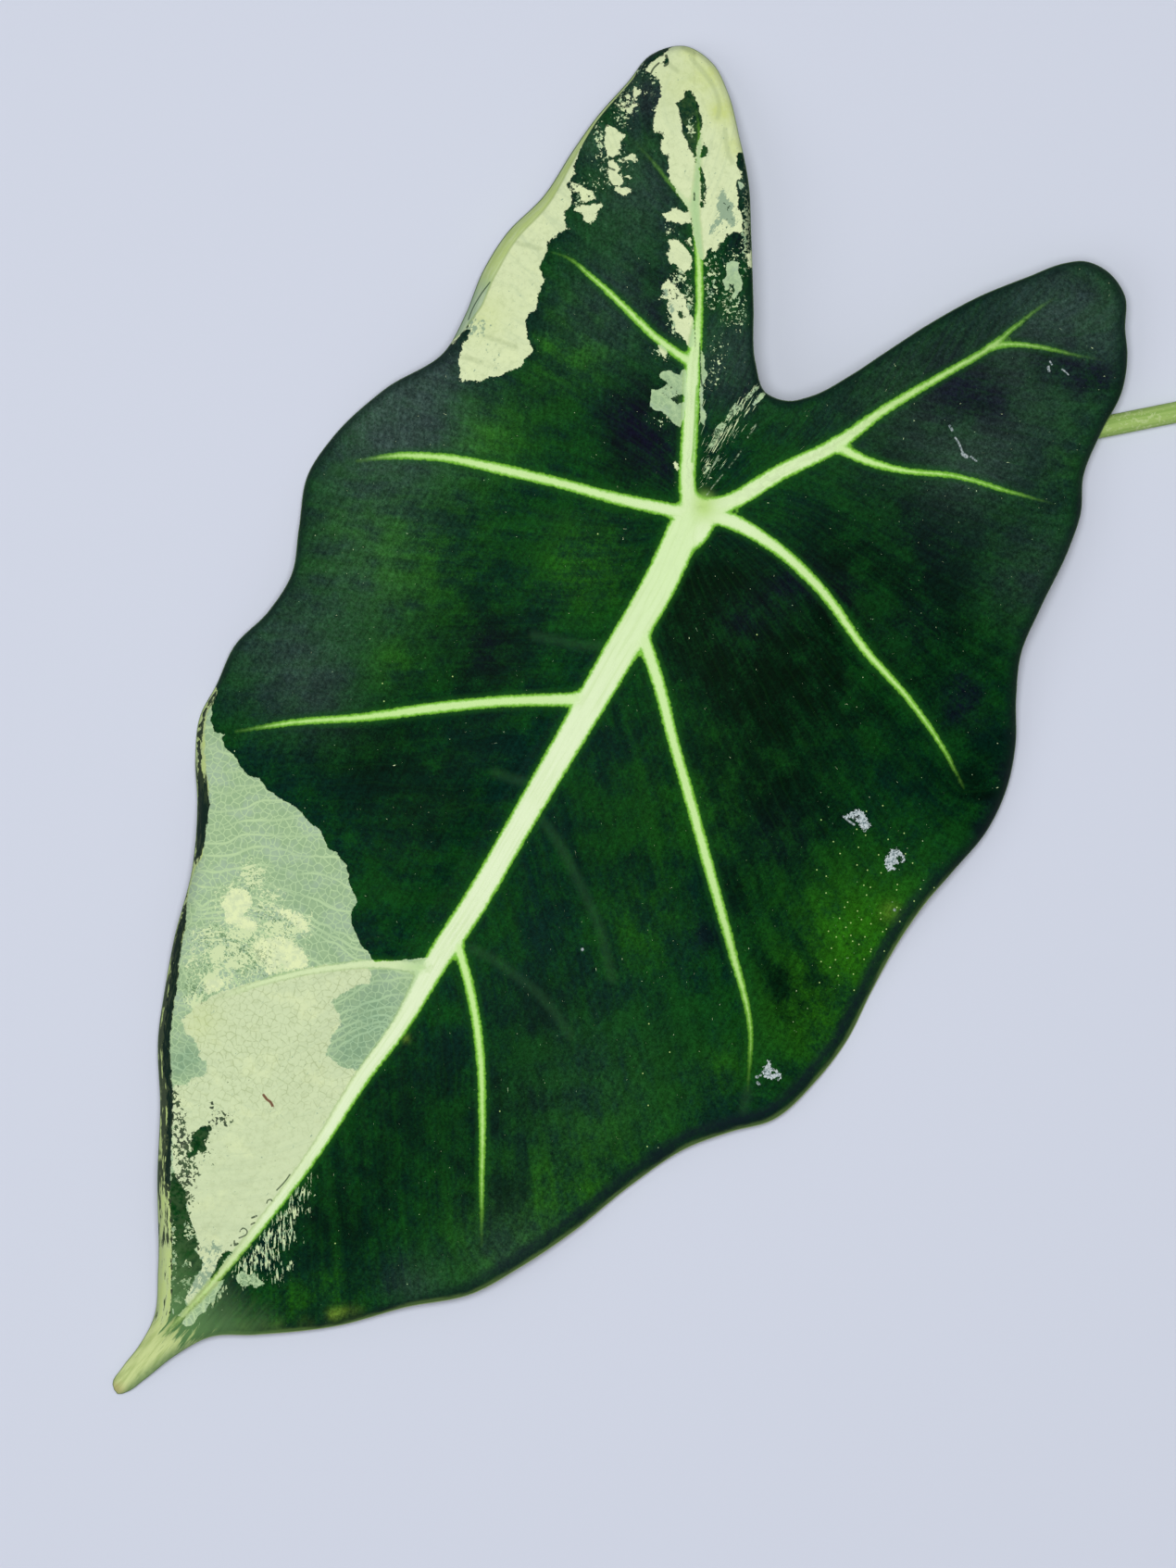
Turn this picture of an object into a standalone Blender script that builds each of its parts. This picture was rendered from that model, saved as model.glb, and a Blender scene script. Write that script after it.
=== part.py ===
"""A variegated alocasia leaf, picked with its stalk and lying face up on its margins.

The leaf is drawn flat, in millimetres from the point where the stalk joins the blade, with x to
the right and y up as it is seen from above. A height formula then arches the blade, sinks its
veins and bends its margin down, and the drawing is turned so that the midrib lies along Y.
"""

import math

import bmesh
import bpy
import numpy as np
from mathutils import Vector
from mathutils.geometry import delaunay_2d_cdt

MM = 0.001
TURN = math.radians(33)                 # brings the drawn midrib onto Y, its tip towards -Y
JUNCTION_AT = (-53.0, 32.3)             # where the stalk joins the blade, from the box's centre
JUNCTION_HEIGHT = 17.55

# The margin, clockwise from the back of the left lobe: x, y and the width that is bent down.
OUTLINE = [
    (-1, 100.5, 1.6), (5, 96.5, 1.4), (8, 90.5, 1.2), (10.5, 80.5, 1.2), (12.5, 70, 1.2),
    (13, 59, 1.2), (13.5, 44, 1.2), (14, 31, 1.2), (16, 25, 1.2), (21, 23, 1.2), (26, 24, 1.2),
    (34.5, 28.5, 1.2), (42, 33.5, 1.2), (52, 40, 1.2), (62, 45.5, 1.2), (73, 50, 1.4),
    (81, 53, 1.6), (85, 53.5, 1.8), (90, 51.5, 2), (94, 46, 2), (94, 39, 2), (94.5, 34, 2),
    (93.5, 26, 2), (89, 17, 2), (85, 7, 2), (84.5, -0.5, 2), (82, -8, 2), (75.5, -21.5, 2),
    (71.5, -31, 2), (70.5, -41, 2), (70.5, -50.5, 2), (68.5, -60.5, 2), (64.5, -69, 2),
    (57, -78, 2), (51, -85, 2), (45.5, -93, 2), (39.5, -104, 2), (34, -115, 2), (27, -124, 2),
    (18, -132, 2), (9, -134.5, 2), (-0.5, -138, 2), (-12.5, -146, 2), (-25, -156, 2),
    (-37, -164, 2), (-47, -169.5, 2), (-61.5, -172.5, 2), (-76, -176.5, 1.8),
    (-94, -178.5, 1.6), (-104, -179, 1.8), (-111.5, -183, 1.8), (-118.5, -188.5, 1.6),
    (-122, -191, 1.3), (-124, -191.5, 1.2), (-125, -189.5, 1.2), (-123, -186, 1.4),
    (-119.5, -181.5, 1.8), (-116, -175, 2), (-115, -164.5, 2.4), (-115, -143.5, 3),
    (-114.5, -129.5, 3.2), (-115, -114, 3.4), (-113.5, -103.5, 3.4), (-111.5, -93, 3.2),
    (-107.5, -77.5, 3), (-106.5, -63, 3), (-107, -54, 2.6), (-106, -44.5, 2.2),
    (-102.5, -38, 1.6), (-98.5, -29.5, 1.4), (-91, -22, 1.4), (-86, -14, 1.4), (-84.5, -4, 1.4),
    (-82.5, 8, 1.4), (-77.5, 15.5, 1.4), (-66, 26, 1.6), (-52.5, 34.5, 1.8), (-48.5, 42, 3),
    (-44.5, 52, 3), (-39.5, 60, 3), (-31.5, 68, 2.8), (-25, 78, 2.6), (-20, 85, 2.2),
    (-13, 93, 2), (-8.5, 98.5, 1.8),
]

# The veins that stand out as ribs: x, y and the width of the rib.
MIDRIB = [
    (1, 1, 7), (-6, -15, 7.2), (-16, -32.5, 6.8), (-28.5, -54, 5.7), (-37.5, -69.5, 5.2),
    (-46.5, -85, 5.2), (-54, -96.5, 5), (-62.5, -111.5, 3.4), (-70.5, -122.5, 2.9),
    (-81, -139, 2.2), (-91, -152.5, 1.8), (-107, -171.5, 1.4), (-114.5, -179.5, 1.2),
    (-123, -189.5, 1),
]
SIDE_VEINS = {
    "left_lobe": [(0, -1, 3.6), (-0.5, 7.5, 3.4), (0.5, 21, 3.6), (1, 34, 3.5), (2, 50, 2.4),
                  (1.5, 60, 2.4), (1, 64, 2.2), (2, 74, 1.8), (2, 82, 1.2), (1, 88, 0.8)],
    "left_lobe_branch": [(-1, 32, 2.4), (-6.5, 37, 2), (-14, 44, 1.7), (-21, 50, 1.4),
                         (-27, 54.5, 1), (-30, 55.5, 0.8)],
    "left_lobe_back": [(0.5, 64.5, 1), (-4.5, 70.5, 1), (-8, 75, 0.9), (-12, 79.5, 0.8)],
    "right_lobe": [(0, 0, 3.8), (6.5, 1, 3.8), (19.5, 8.5, 3.6), (31, 14, 3.2), (41.5, 21, 2.2),
                   (54, 28.5, 1.8), (66, 35.5, 1.6), (73, 42.5, 1.2), (80, 46, 0.8)],
    "right_lobe_tip": [(66, 35.5, 1.2), (75, 35, 1.1), (84.5, 32.5, 0.8), (89.5, 31.5, 0.8)],
    "right_lobe_branch": [(31, 13.5, 2.4), (38, 10.2, 1.9), (44.5, 8.4, 1.4), (57, 7, 1.1),
                          (69.5, 3.5, 0.9), (79, 1, 0.8)],
    "right_first": [(1, -1, 3.8), (8, -2.5, 3.8), (17, -7.5, 3), (28, -17.5, 2.4),
                    (38, -30.5, 1.9), (47.5, -41, 1.4), (55, -52, 1), (59, -60, 0.8)],
    "right_second": [(-10, -28, 2.8), (-7, -37, 2.5), (-3, -50, 2.2), (1, -64, 2.2),
                     (5, -79, 2.1), (9.5, -96, 1.7), (13, -112, 1), (12.5, -125.5, 0.8)],
    "right_third": [(-50, -94, 2), (-47.5, -103, 1.8), (-45, -118, 1.6), (-44.5, -132, 1.3),
                    (-45, -148, 0.9), (-45, -159, 0.8)],
    "left_first": [(-1, -1, 3.6), (-15.5, 2, 2.8), (-28.5, 5.5, 2.4), (-41, 8.5, 2.4),
                   (-53, 11, 1.8), (-63.5, 11.5, 1.4), (-72, 10.5, 0.8)],
    "left_second": [(-24, -41, 2.8), (-40, -41.5, 2.2), (-55.5, -43, 2.2), (-71, -45, 1.6),
                    (-85, -46, 1.2), (-98, -48, 0.8)],
    "left_third": [(-56.5, -99, 2.2), (-68, -98, 1.6), (-78, -99, 1.1), (-93.5, -102.5, 0.9),
                   (-104, -106.5, 0.8)],
}

# The blade's form, in millimetres.
THICKNESS = 0.8
TIP_REACH, TIP_DROP, TIP_POWER = 228.0, 15.7, 1.7
BACK_REACH, BACK_DROP, BACK_POWER = 92.0, 7.0, 1.6
LEFT_REACH, RIGHT_REACH, SIDE_DROP, SIDE_POWER = 68.0, 89.0, 13.5, 1.8
GUTTER_RISE, GUTTER_WIDTH = 2.5, 14.0
WAVE_HEIGHT, WAVE_LENGTH, WAVE_FADE = 1.5, 62.0, 16.0
LEFT_LOW, RIGHT_LOW = -95.0, -68.0      # how far along the midrib each side dips lowest
BEND_SLOPE = 1.1                        # fall of the bent margin at its edge, per width
VEIN_SINK, VEIN_SINK_REACH = 0.26, 2.6  # per width of the vein
RIB_DEPTH, RIDGE_HEIGHT = 0.6, 0.08     # below and above the blade, per width of the rib
HUB_RADIUS, HUB_DEPTH = 5.0, 4.6        # the swelling that the stalk joins

# The mesh.
MARGIN_STEP, VEIN_STEP, GRID_STEP = 4.6, 5.0, 5.4
LEAST_STEP = 1.1
RIB_CROWN = 0.32                        # from the midrib's line to its crown's edge, per width
SHOULDER_STEP = 1.27                    # least distance from a rib's line to its shoulder

# The stalk, which leaves the hub straight down and bends along the surface.
STALK_HEADING = math.radians(11.4)      # as drawn
STALK_TOP, STALK_BEND_REACH, STALK_BEND_STEPS = 10.6, 22.0, 9
STALK_LENGTH = 240.0
STALK_RADIUS, STALK_END_RADIUS = 2.3, 3.1
STALK_BOW, STALK_BOW_START = 9.0, 110.0
STALK_FLAT = 0.86                       # height of the centre, per radius, where it lies
STALK_SIDES, STALK_STEP = 12, 5.0


def smooth(points, step, closed=False):
    """A curve through the points, with a sample about every step."""
    knots = np.array(points, float)
    if closed:
        knots = np.vstack([knots, knots[:1]])
    spans = np.linalg.norm(np.diff(knots[:, :2], axis=0), axis=1)
    slopes = np.diff(knots, axis=0) / spans[:, None]
    before, after = np.roll(spans, 1), spans
    tangents = np.zeros_like(knots)
    tangents[:-1] = (np.roll(slopes, 1, axis=0) * after[:, None] + slopes * before[:, None])
    tangents[:-1] /= (before + after)[:, None]
    if closed:
        tangents[-1] = tangents[0]
    else:
        tangents[0], tangents[-1] = slopes[0], slopes[-1]
    samples = []
    for i, span in enumerate(spans):
        count = max(1, round(span / step))
        for k in range(count):
            t = k / count
            near, far = 2 * t**3 - 3 * t**2 + 1, 3 * t**2 - 2 * t**3
            leaving, arriving = (t**3 - 2 * t**2 + t) * span, (t**3 - t**2) * span
            samples.append(near * knots[i] + far * knots[i + 1]
                           + leaving * tangents[i] + arriving * tangents[i + 1])
    if not closed:
        samples.append(knots[-1])
    return np.array(samples)


def nearest(points, line):
    """Distance of each point from a line of (x, y, width) samples, and the width there."""
    start, run = line[:-1], np.diff(line, axis=0)
    reach = np.maximum((run[:, :2] ** 2).sum(axis=1), 1e-9)
    offset = points[:, None, :2] - start[None, :, :2]
    along = np.clip((offset * run[None, :, :2]).sum(axis=2) / reach, 0, 1)
    gap = np.linalg.norm(offset - along[..., None] * run[None, :, :2], axis=2)
    best = gap.argmin(axis=1)
    rows = np.arange(len(points))
    return gap[rows, best], start[best, 2] + along[rows, best] * run[best, 2]


def turned(points):
    """Drawn x and y, turned so that the midrib lies along Y."""
    cos, sin = math.cos(TURN), math.sin(TURN)
    x, y = points[:, 0], points[:, 1]
    return np.column_stack([x * cos - y * sin, x * sin + y * cos])


def blade_height(points, margin, veins):
    """Height of the blade's middle surface over each drawn point."""
    across, along = turned(points).T
    tip = np.clip(-along / TIP_REACH, 0, None) ** TIP_POWER * TIP_DROP
    back = np.clip(along / BACK_REACH, 0, None) ** BACK_POWER * BACK_DROP
    reach = np.where(across < 0, LEFT_REACH, RIGHT_REACH)
    side = (np.abs(across) / reach) ** SIDE_POWER * SIDE_DROP
    gutter = GUTTER_RISE * (1 - np.exp(-np.abs(across) / GUTTER_WIDTH))
    edge, bent = nearest(points, margin)
    low = np.where(across < 0, LEFT_LOW, RIGHT_LOW)
    wave = WAVE_HEIGHT * np.cos(2 * math.pi * (along - low) / WAVE_LENGTH) * np.exp(-edge / WAVE_FADE)
    wave *= np.clip(np.abs(across) / WAVE_FADE, 0, 1)
    bend = BEND_SLOPE * np.clip(bent - edge, 0, None) ** 2 / bent
    sink = np.zeros(len(points))
    for vein in veins:
        gap, width = nearest(points, vein)
        sink = np.maximum(sink, VEIN_SINK * width * np.exp(-(gap / (VEIN_SINK_REACH * width)) ** 2))
    return JUNCTION_HEIGHT - tip - back - side + gutter - wave - bend - sink


def rib_profile(points, veins):
    """How far a rib stands out at each point: its width times a rounded section."""
    rib = np.zeros(len(points))
    for vein in veins:
        gap, width = nearest(points, vein)
        rib = np.maximum(rib, width * np.sqrt(np.clip(1 - (2 * gap / width) ** 2, 0, None)))
    return rib


def inside(points, margin):
    """Which points lie within the margin."""
    x, y = points[:, None, 0], points[:, None, 1]
    x0, y0 = margin[:-1, 0], margin[:-1, 1]
    x1, y1 = margin[1:, 0], margin[1:, 1]
    rise = np.where(y1 == y0, 1e-9, y1 - y0)
    crossed = ((y0 > y) != (y1 > y)) & (x < (x1 - x0) * (y - y0) / rise + x0)
    return crossed.sum(axis=1) % 2 == 1


def sideways(line, closed=False):
    """A unit step to the left of the way the line runs, at each of its samples."""
    if closed:
        heading = np.roll(line[:, :2], -1, axis=0) - np.roll(line[:, :2], 1, axis=0)
    else:
        heading = np.gradient(line[:, :2], axis=0)
    left = np.column_stack([-heading[:, 1], heading[:, 0]])
    return left / np.linalg.norm(left, axis=1)[:, None]


def drawn_points(margin, veins):
    """The mesh's points (margin, ribs with their shoulders, bend line, grid) and its rib edges."""
    kept, edges = [tuple(point) for point in margin[:-1, :2]], []

    def keep(line, from_margin, apart, joined=False):
        last = None
        room = (nearest(line, margin)[0] > from_margin) & inside(line, margin)
        for point in line[room]:
            if min(math.dist(point, other) for other in kept) < apart:
                continue
            kept.append(tuple(point))
            if joined and last is not None:
                edges.append((last, len(kept) - 1))
            last = len(kept) - 1

    for vein in veins:
        keep(vein[:, :2], LEAST_STEP, LEAST_STEP, joined=True)
    for vein in veins:
        left = sideways(vein)
        for side in (1, -1):
            keep(vein[:, :2] + side * left * np.maximum(vein[:, 2:] / 2, SHOULDER_STEP),
                 LEAST_STEP, LEAST_STEP, joined=True)
    crown = sideways(veins[0]) * veins[0][:, 2:] * RIB_CROWN
    for side in (1, -1):
        keep(veins[0][:, :2] + side * crown, LEAST_STEP, LEAST_STEP)
    bend = sideways(margin[:-1], closed=True) * margin[:-1, 2:]
    keep(margin[:-1, :2] - bend, LEAST_STEP, 1.5 * LEAST_STEP)
    low, high = margin[:, :2].min(axis=0), margin[:, :2].max(axis=0)
    for row, y in enumerate(np.arange(low[1], high[1], GRID_STEP * math.sqrt(0.75))):
        x = np.arange(low[0] + (row % 2) * GRID_STEP / 2, high[0], GRID_STEP)
        keep(np.column_stack([x, np.full(len(x), y)]), LEAST_STEP * 2, 0.62 * GRID_STEP)
    return kept, edges


def plain_material(name, colour, roughness):
    material = bpy.data.materials.new(name)
    material.use_nodes = True
    shader = material.node_tree.nodes["Principled BSDF"]
    shader.inputs["Base Color"].default_value = (*colour, 1)
    shader.inputs["Roughness"].default_value = roughness
    return material


def add_object(name, vertices, faces, material):
    """One closed body in metres, placed round the junction, its faces turned outwards."""
    place = np.array([*JUNCTION_AT, 0.0])
    mesh = bpy.data.meshes.new(name)
    mesh.from_pydata([tuple((v + place) * MM) for v in vertices], [], faces)
    body = bmesh.new()
    body.from_mesh(mesh)
    bmesh.ops.recalc_face_normals(body, faces=body.faces)
    body.to_mesh(mesh)
    body.free()
    mesh.shade_smooth()
    mesh.materials.append(material)
    bpy.context.scene.collection.objects.link(bpy.data.objects.new(name, mesh))


def make_blade():
    """Both faces of the blade from one set of triangles, joined round the margin."""
    margin = smooth(OUTLINE, MARGIN_STEP, closed=True)
    margin = np.vstack([margin, margin[:1]])
    veins = [smooth(MIDRIB, VEIN_STEP)] + [smooth(vein, VEIN_STEP) for vein in SIDE_VEINS.values()]
    drawn, edges = drawn_points(margin, veins)
    rim = list(range(len(margin) - 1))
    flat, _, triangles, *_ = delaunay_2d_cdt([Vector(point) for point in drawn], edges, [rim], 1, 1e-6)
    points = np.array([tuple(p) for p in flat])
    triangles = np.array(triangles)
    middle = np.column_stack([turned(points), blade_height(points, margin, veins)])
    corners = middle[triangles]
    facing = np.cross(corners[:, 1] - corners[:, 0], corners[:, 2] - corners[:, 0])
    triangles[facing[:, 2] < 0] = triangles[facing[:, 2] < 0][:, ::-1]
    facing[facing[:, 2] < 0] *= -1
    normals = np.zeros_like(middle)
    for corner in range(3):
        np.add.at(normals, triangles[:, corner], facing)
    normals /= np.linalg.norm(normals, axis=1)[:, None]
    rib = rib_profile(points, veins)
    hub = np.hypot(points[:, 0], points[:, 1]) / HUB_RADIUS
    depth = np.maximum(RIB_DEPTH * rib, HUB_DEPTH * np.sqrt(np.clip(1 - hub ** 2, 0, None)))
    top = middle + normals * (THICKNESS / 2 + RIDGE_HEIGHT * rib)[:, None]
    bottom = middle - normals * (THICKNESS / 2)
    bottom[:, 2] -= depth
    count = len(points)
    faces = [tuple(t) for t in triangles] + [tuple(t[::-1] + count) for t in triangles]
    sides = {pair for a, b, c in triangles.tolist() for pair in ((a, b), (b, c), (c, a))}
    for a, b in sorted(sides):
        if (b, a) not in sides:
            faces += [(b, a, a + count), (b, a + count, b + count)]
    green = plain_material("blade_green", (0.018, 0.075, 0.025), 0.6)
    add_object("leaf_blade", np.vstack([top, bottom]), [tuple(int(i) for i in f) for f in faces], green)


def make_stalk():
    """A round stalk swept from the hub down to the surface and along it, flat where it lies."""
    line = []
    low = STALK_FLAT * STALK_RADIUS
    for bend in np.linspace(0, math.pi / 2, STALK_BEND_STEPS):
        height = low + (STALK_TOP - low) * (1 - math.sin(bend))
        line.append((STALK_BEND_REACH * (1 - math.cos(bend)), height, STALK_RADIUS))
    steps = round((STALK_LENGTH - STALK_BEND_REACH) / STALK_STEP)
    for reach in np.linspace(STALK_BEND_REACH, STALK_LENGTH, steps + 1)[1:]:
        swell = max(0.0, (reach - STALK_BOW_START) / (STALK_LENGTH - STALK_BOW_START))
        radius = STALK_RADIUS + (STALK_END_RADIUS - STALK_RADIUS) * swell
        line.append((reach, STALK_FLAT * radius, radius))
    line = np.array(line)
    heading = STALK_HEADING + TURN
    forward = np.array([math.cos(heading), math.sin(heading), 0.0])
    left = np.array([-forward[1], forward[0], 0.0])
    up = np.array([0.0, 0.0, 1.0])
    bow = STALK_BOW * np.clip((line[:, 0] - STALK_BOW_START) / (STALK_LENGTH - STALK_BOW_START), 0, None) ** 2
    centres = line[:, :1] * forward - bow[:, None] * left + line[:, 1:2] * up
    slope = np.gradient(centres, axis=0)
    slope /= np.linalg.norm(slope, axis=1)[:, None]
    slope[0] = -up
    vertices = []
    for centre, ahead, radius in zip(centres, slope, line[:, 2]):
        over = np.cross(ahead, left)
        over /= np.linalg.norm(over)
        for k in range(STALK_SIDES):
            angle = 2 * math.pi * k / STALK_SIDES
            vertex = centre + radius * (math.cos(angle) * left + math.sin(angle) * over)
            vertices.append(np.maximum(vertex, (-1e3, -1e3, 0.0)))
    faces = []
    for ring in range(len(line) - 1):
        for k in range(STALK_SIDES):
            a, b = ring * STALK_SIDES + k, ring * STALK_SIDES + (k + 1) % STALK_SIDES
            faces.append((a, b, b + STALK_SIDES, a + STALK_SIDES))
    faces.append(tuple(range(STALK_SIDES))[::-1])
    faces.append(tuple(range(len(vertices) - STALK_SIDES, len(vertices))))
    green = plain_material("stalk_green", (0.32, 0.52, 0.12), 0.45)
    add_object("petiole", np.array(vertices), faces, green)


for thing in list(bpy.data.objects):
    bpy.data.objects.remove(thing, do_unlink=True)
make_blade()
make_stalk()
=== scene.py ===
import math
from functools import cache

import bpy
import numpy as np
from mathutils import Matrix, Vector
from mathutils.geometry import delaunay_2d_cdt
from mathutils.kdtree import KDTree


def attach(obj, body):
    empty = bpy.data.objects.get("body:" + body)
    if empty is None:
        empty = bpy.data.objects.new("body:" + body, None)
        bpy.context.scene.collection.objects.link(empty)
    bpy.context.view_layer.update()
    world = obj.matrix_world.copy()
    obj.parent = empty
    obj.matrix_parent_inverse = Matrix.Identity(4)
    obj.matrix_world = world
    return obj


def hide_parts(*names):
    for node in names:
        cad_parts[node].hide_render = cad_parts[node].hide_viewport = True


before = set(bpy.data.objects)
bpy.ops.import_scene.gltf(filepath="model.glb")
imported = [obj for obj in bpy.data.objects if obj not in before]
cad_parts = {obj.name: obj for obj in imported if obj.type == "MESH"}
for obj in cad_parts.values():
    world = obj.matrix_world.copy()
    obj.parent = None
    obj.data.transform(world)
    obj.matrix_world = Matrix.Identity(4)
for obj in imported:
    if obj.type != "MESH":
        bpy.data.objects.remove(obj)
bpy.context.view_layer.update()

mm = 0.001
body = "root"

# The leaf is drawn flat, in mm from the point where the stalk joins the blade, x to the right
# and y up as seen from above. It is then turned so that the midrib lies along Y.
drawing = {
    "turn": math.radians(33),
    "junction": (-53.0, 32.3),       # from the middle of the frame's box
    "junctionHeight": 17.55,
    "photoJunction": (745, 550),     # the same point in the photo's pixels
    "photoScale": 0.2,               # mm a pixel
    "photoSize": (1270, 1693),
    "bumpStrength": 0.4,
}

# Margin, clockwise from the back of the left lobe: x, y and the width that is bent down.
outline = [
    (-1, 100.5, 1.6), (5, 96.5, 1.4), (8, 90.5, 1.2), (10.5, 80.5, 1.2), (12.5, 70, 1.2),
    (13, 59, 1.2), (13.5, 44, 1.2), (14, 31, 1.2), (16, 25, 1.2), (21, 23, 1.2), (26, 24, 1.2),
    (34.5, 28.5, 1.2), (42, 33.5, 1.2), (52, 40, 1.2), (62, 45.5, 1.2), (73, 50, 1.4),
    (81, 53, 1.6), (85, 53.5, 1.8), (90, 51.5, 2), (94, 46, 2), (94, 39, 2), (94.5, 34, 2),
    (93.5, 26, 2), (89, 17, 2), (85, 7, 2), (84.5, -0.5, 2), (82, -8, 2), (75.5, -21.5, 2),
    (71.5, -31, 2), (70.5, -41, 2), (70.5, -50.5, 2), (68.5, -60.5, 2), (64.5, -69, 2),
    (57, -78, 2), (51, -85, 2), (45.5, -93, 2), (39.5, -104, 2), (34, -115, 2), (27, -124, 2),
    (18, -132, 2), (9, -134.5, 2), (-0.5, -138, 2), (-12.5, -146, 2), (-25, -156, 2),
    (-37, -164, 2), (-47, -169.5, 2), (-61.5, -172.5, 2), (-76, -176.5, 1.8),
    (-94, -178.5, 1.6), (-104, -179, 1.8), (-111.5, -183, 1.8), (-118.5, -188.5, 1.6),
    (-122, -191, 1.3), (-124, -191.5, 1.2), (-125, -189.5, 1.2), (-123, -186, 1.4),
    (-119.5, -181.5, 1.8), (-116, -175, 2), (-115, -164.5, 2.4), (-115, -143.5, 3),
    (-114.5, -129.5, 3.2), (-115, -114, 3.4), (-113.5, -103.5, 3.4), (-111.5, -93, 3.2),
    (-107.5, -77.5, 3), (-106.5, -63, 3), (-107, -54, 2.6), (-106, -44.5, 2.2),
    (-102.5, -38, 1.6), (-98.5, -29.5, 1.4), (-91, -22, 1.4), (-86, -14, 1.4), (-84.5, -4, 1.4),
    (-82.5, 8, 1.4), (-77.5, 15.5, 1.4), (-66, 26, 1.6), (-52.5, 34.5, 1.8), (-48.5, 42, 3),
    (-44.5, 52, 3), (-39.5, 60, 3), (-31.5, 68, 2.8), (-25, 78, 2.6), (-20, 85, 2.2),
    (-13, 93, 2), (-8.5, 98.5, 1.8),
]

# Veins: x, y and width.
veins = {
    "midrib": [(1, 1, 7), (-6, -15, 7.2), (-16, -32.5, 6.8), (-28.5, -54, 5.7),
               (-37.5, -69.5, 5.2), (-46.5, -85, 5.2), (-54, -96.5, 5), (-62.5, -111.5, 3.4),
               (-70.5, -122.5, 2.9), (-81, -139, 2.2), (-91, -152.5, 1.8), (-107, -171.5, 1.4),
               (-114.5, -179.5, 1.2), (-123, -189.5, 1)],
    "leftLobe": [(0, -1, 3.6), (-0.7, 6, 3.3), (-0.3, 14, 3.3), (0.1, 22, 3.3), (0.5, 30, 3.2),
                 (1.2, 36, 2.6), (1.9, 42, 1.7), (2, 50, 1.7), (1.7, 58, 1.7), (1.2, 64, 1.7),
                 (1.8, 74, 1.3), (2, 82, 1), (1, 88, 0.8)],
    "leftLobeBranch": [(-1, 32, 2.4), (-7, 36.4, 2), (-14.4, 43.6, 1.7), (-21, 49.8, 1.4),
                       (-27, 54.5, 1), (-30, 55.5, 0.8)],
    "leftLobeBack": [(0.5, 64.5, 1), (-4.5, 70.5, 1), (-8, 75, 0.9), (-12, 79.5, 0.8)],
    "rightLobe": [(0, 0, 3.8), (6.5, 0.7, 3.8), (19.8, 7.9, 3.6), (31.2, 13.6, 3.2), (41.5, 21, 2.2),
                  (54, 28.5, 1.8), (65.4, 35.4, 1.6), (70, 39.2, 1.3), (75, 43.2, 1.1),
                  (80.5, 46.8, 0.8)],
    "rightLobeTip": [(65, 35, 1.2), (70, 35.5, 1.2), (75, 35, 1.1), (84.5, 33, 0.8), (89.5, 32.2, 0.8)],
    "rightLobeBranch": [(31, 13.5, 2.4), (38, 10.2, 1.9), (44.5, 8.4, 1.4), (57, 7, 1.1),
                        (69.5, 3.5, 0.9), (79, 1, 0.8)],
    "rightFirst": [(1, -1, 3.8), (8, -2.5, 3.8), (17, -7.5, 3), (28, -17.5, 2.4),
                   (37.8, -30.7, 1.9), (47.2, -41.2, 1.4), (54.8, -52, 1), (59, -60, 0.8)],
    "rightSecond": [(-10, -28, 2.8), (-7, -37, 2.5), (-3.6, -50.2, 2.2), (0.4, -64.2, 2.2),
                    (4.5, -79.1, 2.1), (9.2, -96, 1.7), (13, -112, 1), (12.5, -125.5, 0.8)],
    "rightThird": [(-50, -94, 2), (-47.5, -103, 1.8), (-45.2, -118, 1.6), (-44.8, -132, 1.3),
                   (-45, -148, 0.9), (-45, -159, 0.8)],
    "leftFirst": [(-1, -1, 3.6), (-15.5, 2, 2.8), (-28.5, 5.5, 2.4), (-41, 8.5, 2.4),
                  (-53, 11, 1.8), (-63.5, 11.5, 1.4), (-72, 10.5, 0.8)],
    "leftSecond": [(-24, -41, 2.8), (-40, -41.5, 2.2), (-55.5, -43, 2.2), (-71, -45, 1.6),
                   (-85, -46, 1.2), (-98, -48, 0.8)],
    "leftThird": [(-56.5, -99, 2.2), (-68, -98, 1.6), (-78, -99, 1.1), (-93.5, -102.5, 0.9),
                  (-104, -106.5, 0.8)],
}
# Veins that dim from their start on. Then how brightly each vein shows at its start and end, and
# the mm a side that don't show there.
dimVeins = ("rightLobeTip", "leftLobeBack")
veinShow = {
    "midrib": (1, 1, 0.05, 0.05), "leftLobe": (1, 0.4, 0, 0.28), "leftLobeBranch": (0.95, 0.6, 0.26, 0.26),
    "leftLobeBack": (0.34, 0.15, 0.1, 0.1), "rightLobe": (1, 0.0, 0.2, 0.2),
    "rightLobeTip": (0.75, 0.05, 0.1, 0.1), "rightLobeBranch": (1, 0.1, 0.14, 0.14),
    "rightFirst": (1, 0.7, 0.36, 0.1), "rightSecond": (1, 0.4, 0.06, 0.06),
    "rightThird": (1, 0.3, 0.05, 0.05), "leftFirst": (1, 0.75, 0.38, 0.05),
    "leftSecond": (1, 0.75, 0.06, 0.06), "leftThird": (0.85, 0.5, 0.16, 0.16),
}

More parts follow.
